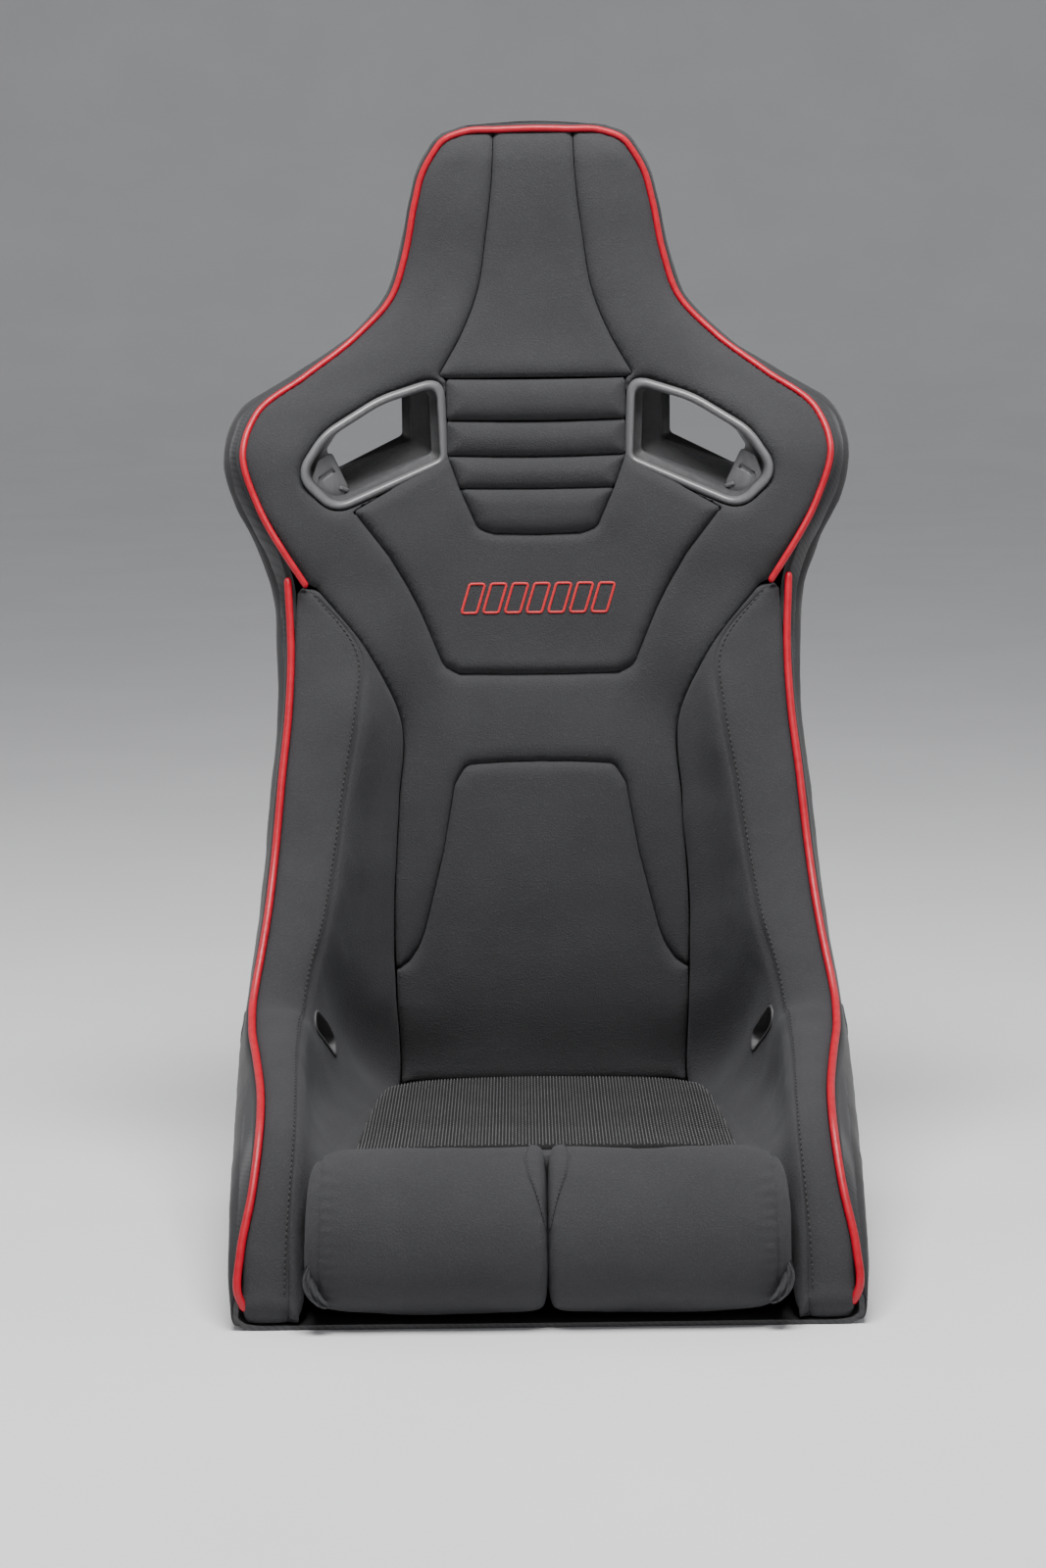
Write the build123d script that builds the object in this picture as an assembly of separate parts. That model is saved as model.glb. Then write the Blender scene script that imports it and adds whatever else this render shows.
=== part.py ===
from build123d import *
import math
import os
from collections import namedtuple

# Fixed-back bucket racing seat with a lift-out base cushion.  Millimetres, +Z up, +X across the
# seat, and the occupant faces -Y.  The origin is on the flat underside of the shell, midway
# between the front and rear side-mount holes.  "fwd" below is the distance towards the front
# (-Y) and "up" is the height.

# ---- driving dimensions -------------------------------------------------------------------
SHELL_T = 4.5            # laminate thickness
BASE_CUT = 0.6           # how far the moulded underside is machined flat
PAD_GAP = 1.6            # glue line between shell and foam
SEAM_GAP = 1.6           # gap between neighbouring pads
PIPING_R = 3.3           # sewn piping
PIPING_ROOM = 6.2        # from the middle of the piping to the edge of the pad beside it
EDGE_DROP = 9.5          # the shell's edge stops this far below the rim line
MOUNT_PITCH = 290.0      # front to rear side-mount bolts
MOUNT_UP = 75.0          # side-mount bolts above the base
MOUNT_HOLE_R = 4.0       # M8 clearance
MOUNT_FACE_X = 261.0     # outer end of the threaded inserts
CUSHION_BOTTOM = 8.0
HOOK_UP, HOOK_T = 4.7, 1.3
LOOP_UP = 6.5            # underside of the loop strips, clear of the hook strips
ROLL_HALF = 193.0        # half width of the cushion's front roll
SPLIT_HALF = 1.0         # half gap of the split in the front roll

# One row per station of the shell, from the front lip, round the hip, to the top of the head.
# Each station is a flat section plane through a spine point and the rim point beside it.
#   spine, rim:   (fwd, up) on the outer centreline, and on the rim
#   wide, edge:   largest half width, and half width at the rim
#   corner:       (across, high) radii of the corner between floor or back and side wall
#   mid:          height of the upholstery above the spine on the centreline
#   seam, face, stitch: (half width, height) of the bolster's foot, inner face and top seam
Station = namedtuple("Station", "spine rim wide edge corner mid seam face stitch")
THIGH = [
    Station((246, 0), (243, 34), 254, 252, (25, 10), 9, (201, 10), (203, 16), (209, 28)),
    Station((232, 0), (236, 64), 256, 250.5, (25, 22), 9, (199.5, 12), (201, 34), (208, 60)),
    Station((205, 0), (213, 107), 258, 242, (28, 30), 9, (198.5, 12), (200, 58), (206, 104)),
    Station((165, 0), (173, 148), 259, 237.5, (30, 34), 9, (195, 12), (198, 80), (204, 145)),
    Station((110, 0), (126, 169), 260, 239, (34, 40), 9, (190, 12), (197, 92), (205, 168)),
    Station((40, 0), (65, 189), 262, 246.5, (40, 50), 9, (184, 12), (192, 98), (207, 188)),
    Station((-40, 0), (28, 202), 264, 252, (45, 52), 9, (178, 12), (187, 108), (207, 208)),
    Station((-78, 0), (12, 209), 264.5, 253, (46, 52), 9, (172, 12), (183, 116), (206.5, 222)),
    Station((-128, 0.4), (-4, 217), 265, 253.5, (47, 52), 9, (166, 12), (179, 122), (206, 234)),
    Station((-171, 14), (-22, 230), 263, 252, (49, 54), 12, (155, 14), (174, 124), (204, 246)),
]
BACK = [
    Station((-205, 62), (-42, 250), 260, 248.5, (55, 60), 41, (128, 43), (168, 82), (199, 236)),
    Station((-226, 130), (-67, 281), 254, 243.5, (60, 64), 70, (131, 70), (162, 112), (189, 207)),
    Station((-240, 215), (-100, 325), 247.5, 238.5, (64, 64), 73, (132, 73), (158, 104), (181, 165)),
    Station((-254, 320), (-134, 397), 240.5, 232, (65, 62), 69, (127, 70), (150, 92), (170, 130)),
    Station((-264, 410), (-156, 450), 234, 226.5, (66, 60), 58, (124, 61), (143, 80), (160, 106)),
    Station((-274, 480), (-174, 500), 234.5, 224.5, (64, 55), 51, (146, 80), (156, 87), (172, 97)),
    Station((-284, 545), (-192, 555), 239, 222, (60, 50), 52, (174, 86), (185, 90), (200, 93)),
]
SHOULDER = [
    Station((-284, 545), (-192, 555), 239, 222, (60, 50), 52, (100, 60), (140, 74), (175, 86)),
    Station((-292, 588), (-190, 590), 252, 232, (62, 50), 54, (100, 64), (140, 78), (178, 92)),
    Station((-302, 630), (-196, 632), 273, 255, (66, 52), 60, (90, 64), (140, 80), (190, 100)),
    Station((-311, 672), (-206, 674), 281, 267, (66, 52), 61, (84, 61), (140, 82), (205, 106)),
    Station((-318, 707), (-227, 708), 270, 256, (64, 48), 64, (86, 65), (130, 79), (190, 95)),
    Station((-326, 742), (-253, 742), 219, 211, (50, 40), 66, (88, 66), (125, 72), (165, 76)),
    Station((-333, 776), (-280, 776), 168, 166, (34, 30), 63, (67, 65), (95, 67), (130, 65)),
    Station((-338, 811), (-292, 811), 136, 134, (30, 28), 61, (53, 62), (80, 62), (108, 57)),
    Station((-342, 850), (-297, 850), 122.5, 121, (28, 26), 59, (47, 60), (72, 59), (98, 53)),
    Station((-345, 895), (-300, 895), 113, 112, (28, 26), 59, (40, 59), (65, 58), (90, 52)),
    Station((-344, 925), (-301, 922), 106, 104.5, (26, 24), 56, (37, 56), (60, 54), (83, 49)),
    Station((-338, 948), (-301, 940), 95, 94, (24, 20), 48, (35, 48), (54, 46), (74, 43)),
    Station((-330, 957), (-301, 948), 88, 87.8, (22, 15), 37, (32, 37), (50, 35), (68, 32)),
]
ABOVE_BOLSTER = SHOULDER[1]._replace(seam=(188, 88), face=(198, 91), stitch=(210, 95))
BELOW_SHOULDER = BACK[-2]._replace(seam=(100, 60), face=(140, 74), stitch=(175, 86))
CROWN = Station((-313, 965), (-301, 957), 66, 65.5, (14, 5), 12, (15, 12), (25, 12), (35, 11))

# Front outlines of the back's panels, as (across, up), right half from the top down.
HEAD_PANEL = [(35.5, 970), (38, 917), (44, 865), (53, 812), (67, 777), (90, 738)]
RIB_SEAMS = [735, 699.5, 668, 639, 597]
RIB_HALF = 79.0
LAST_RIB_HALF = (71.0, 51.0)
YOKE_EDGE = [(84, 668), (84, 662), (164, 622), (133, 580), (106.5, 531), (89, 492), (74, 473)]
WING_SEAM_UP = 590.0     # where the shoulder pads meet the back's surround
LUMBAR_EDGE = [(69, 394), (79, 374), (89, 312), (106.5, 242), (129, 208)]

# Shoulder-harness slot: outline of its bezel, as (across, up), and the slope of the shoulder.
SLOT_OUTLINE = [(84, 739), (81, 661), (183, 619), (216, 655), (191, 692), (141, 722)]
SLOT_FILLET = 9.0
BEZEL_W = 8.0            # width of the bezel's front rim
BEZEL_D = 9.0            # depth of that rim
TUNNEL_T = 3.0
SHOULDER_SLOPE = 55.0 / 127.0   # fwd per mm across, along the bezel's face
BEZEL_INNER = (86.0, -253.0)    # (across, fwd) where the bezel's face starts
BACK_LEAN = 0.214        # how far the back of the shell leans per mm of height at the slots
BACK_AT_SLOT = (630.0, -302.0)  # (up, fwd) on the outside of the shell at the slots
FLANGE_T = 3.5
FLANGE_GAP = 1.0         # sealant between the shell and the rear flange
SCREW_R, SCREW_HEAD_R = 1.5, 3.2
SCREW_AT = [(85.2, 700), (133, 642.5), (166, 705.5)]

# Lap-belt slot through each side at the hip.
LAP_SLOT_AT = (-52.0, 178.0)    # (fwd, up)
LAP_SLOT_SIZE = (56.0, 20.0)
LAP_SLOT_LEAN = 40.0


# ---- section geometry ---------------------------------------------------------------------
def numbers(station):
    """A station's values as one flat list."""
    flat = []
    for value in station:
        flat += value if isinstance(value, tuple) else (value,)
    return flat


def filled_in(stations):
    """The stations with one more halfway between each pair, on a smooth curve through them."""
    rows = [numbers(s) for s in stations]
    gaps = [math.dist((a[5], a[2], a[3]), (b[5], b[2], b[3])) for a, b in zip(rows, rows[1:])]
    slopes = [[(q - p) / gap for p, q in zip(a, b)] for a, b, gap in zip(rows, rows[1:], gaps)]
    tangents = [slopes[0]]
    for i in range(1, len(rows) - 1):
        before, after = gaps[i - 1], gaps[i]
        mixed = zip(slopes[i - 1], slopes[i])
        tangents.append([(p * after + q * before) / (before + after) for p, q in mixed])
    tangents.append(slopes[-1])
    filled = [stations[0]]
    for i, gap in enumerate(gaps):
        ends = zip(rows[i], rows[i + 1], tangents[i], tangents[i + 1])
        n = [0.5 * (a + b) + gap / 8 * (ta - tb) for a, b, ta, tb in ends]
        pairs = [(n[k], n[k + 1]) for k in (0, 2, 6, 9, 11, 13)]
        filled.append(Station(*pairs[:2], n[4], n[5], pairs[2], n[8], *pairs[3:]))
        filled.append(stations[i + 1])
    return filled


def at(station, across, high):
    """A point in a station's plane: `across` from the centre, `high` above the spine."""
    (f0, z0), (f1, z1) = station.spine, station.rim
    length = math.hypot(f1 - f0, z1 - z0)
    fwd = f0 + (f1 - f0) * high / length
    return Vector(across, -fwd, z0 - BASE_CUT + (z1 - z0) * high / length)


# The shell, the bolsters and the back's pads follow one smooth line, so that none overlaps.
WHOLE_LINE = filled_in(THIGH + BACK + SHOULDER[1:] + [CROWN])
LOWER_LINE = filled_in(THIGH + BACK + [ABOVE_BOLSTER])
UPPER_LINE = filled_in([BELOW_SHOULDER] + SHOULDER + [CROWN])[2:-2]


def section_plane(station):
    """The station's plane, its normal pointing along the shell from lip to head."""
    (f0, z0), (f1, z1) = station.spine, station.rim
    return Plane(origin=at(station, 0, 0), x_dir=(1, 0, 0), z_dir=(0, z1 - z0, f1 - f0))


def rim_height(station):
    (f0, z0), (f1, z1) = station.spine, station.rim
    return math.hypot(f1 - f0, z1 - z0)


def shell_top(station):
    height = rim_height(station)
    return height - min(EDGE_DROP, 0.35 * height)


def outer_profile(station):
    """Half outline of the shell's outside, from the centreline round the corner to its edge."""
    across, high = station.corner
    wide, edge, top = station.wide, station.edge, shell_top(station)
    flat = wide - across
    points = [(0, 0), (0.5 * flat, 0), (0.9 * flat, 0), (flat, 0)]
    for angle in (30, 60, 90):
        a = math.radians(angle)
        points.append((flat + across * math.sin(a), high - high * math.cos(a)))
    points.append((wide, high + 0.4 * (top - high)))
    points.append((wide - 0.25 * (wide - edge), high + 0.8 * (top - high)))
    points.append((edge, top))
    return points


def inset(points, distance):
    """The profile moved inwards, square to itself."""
    moved = []
    for i, (x, h) in enumerate(points):
        (xa, ha), (xb, hb) = points[max(i - 1, 0)], points[min(i + 1, len(points) - 1)]
        run, rise = xb - xa, hb - ha
        length = math.hypot(run, rise)
        moved.append((x - distance * rise / length, h + distance * run / length))
    return moved


def mirrored(points):
    """A half profile made whole, from the left edge to the right edge."""
    return [(-x, h) for x, h in reversed(points[1:])] + points


def section(station, *curves):
    """A face in a station's plane, bounded by splines or lines joined end to end."""
    edges = []
    for curve in curves:
        points = [at(station, x, h) for x, h in curve]
        edges.append(Line(*points) if len(points) == 2 else Spline(*points))
    joined = []
    for i, curve in enumerate(curves):
        end, start = curve[-1], curves[(i + 1) % len(curves)][0]
        joined.append(edges[i])
        if math.dist(end, start) > 1e-6:
            joined.append(Line(at(station, *end), at(station, *start)))
    return Face(Wire(joined))


def shell_section(station):
    thickness = min(SHELL_T, 0.5 * station.corner[1])
    outer = outer_profile(station)
    inner = inset(outer, thickness)
    return section(station, mirrored(outer), mirrored(inner)[::-1])


def pad_back(station):
    """The foam's glued face, from the centreline round to the shell's edge."""
    return inset(outer_profile(station), min(SHELL_T, 0.5 * station.corner[1]) + PAD_GAP)


def slants(stations):
    """How far the rim runs at each station for 1 mm of its rise: 1 where it runs straight up."""
    ratios = []
    for i in range(len(stations)):
        before, after = stations[max(i - 1, 0)], stations[min(i + 1, len(stations) - 1)]
        rise = math.dist(before.rim, after.rim)
        ratios.append(math.hypot(rise, after.edge - before.edge) / rise)
    return ratios


def bolster_face(station, slant=1.0):
    """The upholstered side of a bolster, from its foot to its edge beside the piping."""
    height = rim_height(station)
    end = (station.edge - PIPING_R - PIPING_ROOM * slant, height - 2.5)
    (xt, ht) = station.stitch
    crest = (0.5 * (xt + end[0]), 0.5 * (ht + end[1]) + 2)
    return [station.seam, station.face, station.stitch, crest, end]


def bolster_section(station, side):
    front = bolster_face(station)
    back = pad_back(station)[3:][::-1]
    foot = (front[0][0], back[-1][1])
    curves = [front, back, [back[-1], foot]]
    return section(station, *[[(side * x, h) for x, h in curve] for curve in curves])


def centre_section(station):
    x, h = station.seam[0] - SEAM_GAP, station.seam[1]
    front = mirrored([(0, station.mid), (0.6 * x, station.mid), (x, h)])
    floor = pad_back(station)[0][1]
    return section(station, front, [(x, floor), (-x, floor)])


def full_section(station, slant):
    flat = [(0, station.mid), (0.55 * station.seam[0], station.mid)]
    half = flat + bolster_face(station, slant)
    return section(station, mirrored(half), mirrored(pad_back(station))[::-1])


def prism(outline, grow=0.0, side=1):
    """A front outline, grown by `grow`, as a bar that runs right through the seat along Y."""
    face = make_face(Polyline(*[(side * x, z) for x, z in outline], close=True))
    face = fillet(face.vertices(), SLOT_FILLET)
    if grow:
        face = offset(face, grow)
    return extrude(Plane.XZ.offset(-500) * face, 1000)


def panel(half_outline, grow=0.0):
    """A symmetrical front outline, grown by `grow`, as a bar that runs right through along Y."""
    right = [(x + grow, z) for x, z in half_outline]
    right[0] = (right[0][0], right[0][1] + grow)
    right[-1] = (right[-1][0], right[-1][1] - grow)
    left = [(-x, z) for x, z in reversed(right)]
    return extrude(Plane.XZ.offset(-500) * make_face(Polyline(*right, *left, close=True)), 1000)


def between(solid, front, back):
    """The part of a solid between two planes whose normals point forwards."""
    kept = split(solid, bisect_by=front, keep=Keep.BOTTOM)
    return split(kept, bisect_by=back, keep=Keep.TOP)


# ---- shell --------------------------------------------------------------------------------
def face_plane(side, behind=0.0):
    """Plane of a bezel's face, which follows the slope of the shoulder."""
    x, fwd = BEZEL_INNER
    normal = Vector(-side * SHOULDER_SLOPE, -1, 0).normalized()
    return Plane(origin=Vector(side * x, -fwd, 690) - normal * behind, z_dir=normal)


def back_plane(behind=0.0):
    """Plane of the outside of the shell at the slots."""
    up, fwd = BACK_AT_SLOT
    normal = Vector(0, -1, BACK_LEAN).normalized()
    return Plane(origin=Vector(0, -fwd, up) - normal * behind, z_dir=normal)


def screw_plane(side, x, up, behind):
    """Plane across a screw, its normal pointing out of the back."""
    normal = back_plane().z_dir
    foot = Vector(side * x, -BACK_AT_SLOT[1] + BACK_LEAN * (up - BACK_AT_SLOT[0]), up)
    return Plane(origin=foot - normal * behind, z_dir=-normal)


def screws(side, radius, behind, length):
    bar = Cylinder(radius, length, align=(Align.CENTER, Align.CENTER, Align.MAX))
    return [screw_plane(side, x, up, behind) * bar for x, up in SCREW_AT]


def mount_holes(radius, x_from, x_to, side):
    bars = []
    for along in (-0.5, 0.5):
        middle = side * 0.5 * (x_from + x_to)
        bar = Rotation(0, 90, 0) * Cylinder(radius, x_to - x_from)
        bars.append(Pos(middle, along * MOUNT_PITCH, MOUNT_UP) * bar)
    return bars


def lap_slot(grow=0.0):
    fwd, up = LAP_SLOT_AT
    length, height = (size + 2 * grow for size in LAP_SLOT_SIZE)
    outline = Plane.YZ * RectangleRounded(length, height, 0.45 * height)
    bar = extrude(outline, 400, both=True)
    return Pos(0, -fwd, up) * Rotation(-LAP_SLOT_LEAN, 0, 0) * bar


def make_shell():
    solid = loft([shell_section(s) for s in WHOLE_LINE])
    solid -= Pos(0, 0, -20) * Box(700, 900, 40)
    for side in (-1, 1):
        solid -= prism(SLOT_OUTLINE, -BEZEL_W + TUNNEL_T + 1, side)
        solid -= mount_holes(9.3, 200, 300, side)
        solid -= screws(side, SCREW_R + 0.1, 10, 30)
    return solid - lap_slot()


# ---- upholstered back ---------------------------------------------------------------------
def make_back_pads():
    lower = loft([centre_section(s) for s in LOWER_LINE[14:]])
    lower = split(lower, bisect_by=section_plane(BACK[0]), keep=Keep.TOP)
    lower = split(lower, bisect_by=section_plane(BACK[-1]), keep=Keep.BOTTOM)
    upper = loft([full_section(*pair) for pair in zip(UPPER_LINE, slants(UPPER_LINE))])
    whole = lower + upper
    for side in (-1, 1):
        whole -= prism(SLOT_OUTLINE, 1.0, side)

    half = 0.5 * SEAM_GAP
    pads = {}
    for i, (top, bottom) in enumerate(zip(RIB_SEAMS, RIB_SEAMS[1:])):
        w_top, w_bottom = (RIB_HALF, RIB_HALF) if i < 3 else LAST_RIB_HALF
        rib = [(w_top, top), (w_bottom, bottom)]
        pads[f"rib_pad_{i + 1}"] = whole & panel(rib, -half)
    ribs = panel([(RIB_HALF, RIB_SEAMS[0]), (RIB_HALF, RIB_SEAMS[3])], half)
    ribs += panel([(LAST_RIB_HALF[0], RIB_SEAMS[3]), (LAST_RIB_HALF[1], RIB_SEAMS[4])], half)
    lumbar_foot = [(160, LUMBAR_EDGE[-1][1] + 1), (160, 40)]
    pads["lumbar_pad"] = whole & (panel(LUMBAR_EDGE) + panel(lumbar_foot))
    pads["head_center_pad"] = whole & panel(HEAD_PANEL)
    pads["yoke_pad"] = (whole & panel(YOKE_EDGE)) - ribs

    rest = whole - panel(YOKE_EDGE, SEAM_GAP)
    rest -= ribs
    rest -= panel(HEAD_PANEL, SEAM_GAP)
    rest -= panel(LUMBAR_EDGE, SEAM_GAP) + panel(lumbar_foot, SEAM_GAP)
    seam = Plane(origin=(0, 0, WING_SEAM_UP), z_dir=(0, 0, 1))
    middle = Plane(origin=(0, 0, 0), z_dir=(1, 0, 0))
    pads["back_surround_pad"] = largest(split(rest, bisect_by=seam, keep=Keep.BOTTOM))
    wings = split(rest, bisect_by=seam.offset(SEAM_GAP), keep=Keep.TOP)
    for name, keep in (("right", Keep.TOP), ("left", Keep.BOTTOM)):
        pads[f"shoulder_pad_{name}"] = largest(split(wings, bisect_by=middle, keep=keep))
    return pads


def largest(shape):
    return Compound([max(shape.solids(), key=lambda solid: solid.volume)])


def make_bolster(side):
    solid = loft([bolster_section(s, side) for s in LOWER_LINE])
    ledge = section_plane(BACK[-1]).offset(-SEAM_GAP)
    solid = split(solid, bisect_by=ledge, keep=Keep.BOTTOM)
    solid -= Pos(side * 251, 0, MOUNT_UP) * Box(12, MOUNT_PITCH + 44, 48)
    solid -= mount_holes(10.5, 236, 300, side)
    return solid - lap_slot(1.0)


def piping(points, count):
    """A round welt that follows a smooth line through the given points."""
    path = Spline(*points)
    rings = []
    for i in range(count + 1):
        t = i / count
        tangent = path.tangent_at(t)
        sideways = tangent.cross(Vector(0, -1, 0.3)).normalized()
        plane = Plane(origin=path.position_at(t), x_dir=sideways, z_dir=tangent)
        rings.append(Face(Wire(plane * Edge.make_circle(PIPING_R))))
    return loft(rings, ruled=True)


def rim_line(stations, side, inboard=0.0):
    return [at(s, side * (s.edge - PIPING_R - inboard), rim_height(s) - PIPING_R) for s in stations]


def lower_piping_line(side):
    """Rim line of one side, bowed forward at its front end to clear the shell's lip."""
    points = rim_line(LOWER_LINE[:-4], side, -0.5)
    for i, bow in enumerate((4.5, 4.5, 3.0, 1.5)):
        points[i] += Vector(0, -bow, 0)
    return points


# ---- shoulder-harness bezels --------------------------------------------------------------
def make_bezel_front(side):
    outer = prism(SLOT_OUTLINE, 0, side)
    hole = prism(SLOT_OUTLINE, -BEZEL_W, side)
    tube = prism(SLOT_OUTLINE, -BEZEL_W + TUNNEL_T, side) - hole
    rim = between(outer - hole, face_plane(side), face_plane(side, BEZEL_D))
    tunnel = between(tube, face_plane(side, BEZEL_D - 1), back_plane(-0.5))
    return rim + tunnel


def make_bezel_rear(side):
    ring = prism(SLOT_OUTLINE, 4, side) - prism(SLOT_OUTLINE, -BEZEL_W, side)
    flange = between(ring, back_plane(FLANGE_GAP), back_plane(FLANGE_GAP + FLANGE_T))
    return flange - screws(side, SCREW_R + 0.1, 10, 30)


def make_bezel_screws():
    solids = []
    for side in (-1, 1):
        shanks = screws(side, SCREW_R, FLANGE_GAP + FLANGE_T, FLANGE_T + 4)
        heads = screws(side, SCREW_HEAD_R, FLANGE_GAP + FLANGE_T + 2.2, 2.2)
        solids += [shank + head for shank, head in zip(shanks, heads)]
    return Compound(solids)


# ---- side mounts --------------------------------------------------------------------------
def make_mount_plate(side):
    plate = Pos(side * 250.5, 0, MOUNT_UP) * Box(5, MOUNT_PITCH + 40, 44)
    return plate - mount_holes(7.0, 200, 300, side)


def make_inserts(side):
    bodies = mount_holes(9, 253, MOUNT_FACE_X, side)
    necks = mount_holes(6.9, 247, 253, side)
    bores = mount_holes(MOUNT_HOLE_R, 200, 300, side)
    return Compound([body + neck - bore for body, neck, bore in zip(bodies, necks, bores)])


# ---- base cushion -------------------------------------------------------------------------
CUSHION_SIDE = [
    (-174, 112), (-164, 136), (-145, 147), (-100, 159), (-50, 167), (50, 179), (150, 188), (200, 193.5)
]
CUSHION_TOP = [(-175, 84), (-171, 100), (-160, 107), (-60, 109), (60, 114), (150, 121), (184, 124)]
CUSHION_UNDER = [(184, 8), (-95, 8), (-145, 28), (-168, 58), (-175, 84)]
ROLL_PROFILE = [(186, 124), (205, 124), (238, 113), (262, 86), (274, 50), (272, 22), (255, 9)]


def cushion_plan():
    right = [(x, -fwd) for fwd, x in CUSHION_SIDE]
    left = [(-x, y) for x, y in right]
    face = make_face([Spline(*right), Spline(*left), Line(right[0], left[0]), Line(right[-1], left[-1])])
    return extrude(face, 200, dir=(0, 0, 1))


def side_view(outline):
    """A (fwd, up) outline as points of the YZ plane."""
    return [(-fwd, up) for fwd, up in outline]


def make_seat_cushion():
    top = side_view(CUSHION_TOP)
    under = side_view(CUSHION_UNDER)
    face = make_face([Spline(*top), Polyline(*under), Line(top[-1], under[0])])
    bar = extrude(Plane.YZ * face, 250, both=True)
    return bar & cushion_plan()


def make_front_roll(side):
    profile = side_view(ROLL_PROFILE)
    closing = side_view([ROLL_PROFILE[-1], (186, CUSHION_BOTTOM), ROLL_PROFILE[0]])
    face = make_face([Spline(*profile), Polyline(*closing)])
    roll = extrude(Plane.YZ * face, ROLL_HALF - SPLIT_HALF, dir=(1, 0, 0))
    roll = Pos(SPLIT_HALF, 0, 0) * roll
    outer = roll.faces().sort_by(Axis.X)[-1]
    roll = fillet(outer.edges().filter_by(lambda e: e.center().Y < -190), 12)
    return roll if side > 0 else mirror(roll, Plane.YZ)


def strips(up, thickness):
    """Two hook-and-loop strips that run across the pan."""
    return Compound([Pos(0, -fwd, up + thickness / 2) * Box(220, 40, thickness) for fwd in (-60, 110)])


# ---- write --------------------------------------------------------------------------------
nodes = {"shell": make_shell()}
nodes.update(make_back_pads())
for name, side in (("right", 1), ("left", -1)):
    nodes[f"side_bolster_{name}"] = make_bolster(side)
    nodes[f"piping_lower_{name}"] = piping(lower_piping_line(side), 90)
    nodes[f"bezel_front_{name}"] = make_bezel_front(side)
    nodes[f"bezel_rear_{name}"] = make_bezel_rear(side)
    nodes[f"mount_plate_{name}"] = make_mount_plate(side)
    nodes[f"mount_inserts_{name}"] = make_inserts(side)
    nodes[f"front_roll_{name}"] = make_front_roll(side)
head_rim = WHOLE_LINE[2 * len(THIGH + BACK) - 2:]
over_head = rim_line(head_rim, 1, 0.5) + [Vector(0, 301, 960)] + rim_line(head_rim, -1, 0.5)[::-1]
nodes["piping_upper"] = piping(over_head, 140)
nodes["bezel_screws"] = make_bezel_screws()
nodes["seat_cushion"] = make_seat_cushion()
nodes["hook_strips"] = strips(HOOK_UP, HOOK_T)
nodes["loop_strips"] = strips(LOOP_UP, CUSHION_BOTTOM - LOOP_UP)

os.makedirs("parts", exist_ok=True)
for name, solid in nodes.items():
    export_step(solid, f"parts/{name}.step")
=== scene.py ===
import math
import bmesh
import bpy
import numpy as np
from mathutils import Matrix, Vector, noise
from mathutils.bvhtree import BVHTree


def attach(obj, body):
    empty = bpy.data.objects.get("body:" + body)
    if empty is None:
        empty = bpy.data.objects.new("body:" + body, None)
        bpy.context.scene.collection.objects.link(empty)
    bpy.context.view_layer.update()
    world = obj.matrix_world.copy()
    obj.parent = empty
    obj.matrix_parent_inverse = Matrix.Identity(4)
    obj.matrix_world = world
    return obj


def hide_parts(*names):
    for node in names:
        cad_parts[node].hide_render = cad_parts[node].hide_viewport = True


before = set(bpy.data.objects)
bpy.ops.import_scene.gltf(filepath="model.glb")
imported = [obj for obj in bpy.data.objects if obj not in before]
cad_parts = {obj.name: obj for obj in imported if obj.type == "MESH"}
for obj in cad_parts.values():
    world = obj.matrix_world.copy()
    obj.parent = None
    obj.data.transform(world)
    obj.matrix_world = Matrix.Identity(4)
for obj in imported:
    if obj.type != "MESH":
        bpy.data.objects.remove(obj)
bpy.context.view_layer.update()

MM = 0.001
SEAT, BASE = "seat_shell", "base_cushion"   # bodies
SIDES = {-1: "left", 1: "right"}
COVER = 9.0                                 # thickness of the stuffed covers, mm

# ---- camera and light -----------------------------------------------------------------------
CAMERA_AT, LENS = (-0.0158, -3.2, 0.9), 87.25
LOOK_DOWN, ROLL_LEFT = 8.8, 0.68  # degrees

camera_data = bpy.data.cameras.new("camera")
camera_data.sensor_fit = "VERTICAL"
camera_data.sensor_height = 36.0
camera_data.lens = LENS
camera_data.clip_end = 60.0
camera = bpy.data.objects.new("camera", camera_data)
bpy.context.scene.collection.objects.link(camera)
pitch = Matrix.Rotation(math.radians(90 - LOOK_DOWN), 4, "X")
roll = Matrix.Rotation(math.radians(-ROLL_LEFT), 4, "Z")
camera.matrix_world = Matrix.Translation(CAMERA_AT) @ pitch @ roll
bpy.context.scene.camera = camera


def area_light(name, place, aim, size, power):
    data = bpy.data.lights.new(name, "AREA")
    data.shape = "RECTANGLE"
    data.size, data.size_y = size
    data.energy = power
    lamp = bpy.data.objects.new(name, data)
    lamp.location = place
    lamp.rotation_euler = (Vector(aim) - Vector(place)).to_track_quat("-Z", "Y").to_euler()
    bpy.context.scene.collection.objects.link(lamp)


area_light("overhead_softbox", (0, -0.75, 2.6), (0, 0.05, 0.45), (1.5, 0.8), 125)
area_light("front_fill", (0, -3.6, 1.9), (0, 0, 0.6), (2.4, 1.6), 7)
area_light("rim_left", (-2.1, 1.1, 1.5), (0, 0.1, 0.5), (0.7, 1.8), 11)
area_light("rim_right", (2.1, 1.1, 1.5), (0, 0.1, 0.5), (0.7, 1.8), 11)

world = bpy.data.worlds.new("studio")
world.use_nodes = True
world.node_tree.nodes["Background"].inputs["Color"].default_value = (0.80, 0.81, 0.83, 1)
world.node_tree.nodes["Background"].inputs["Strength"].default_value = 0.5
bpy.context.scene.world = world


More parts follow.
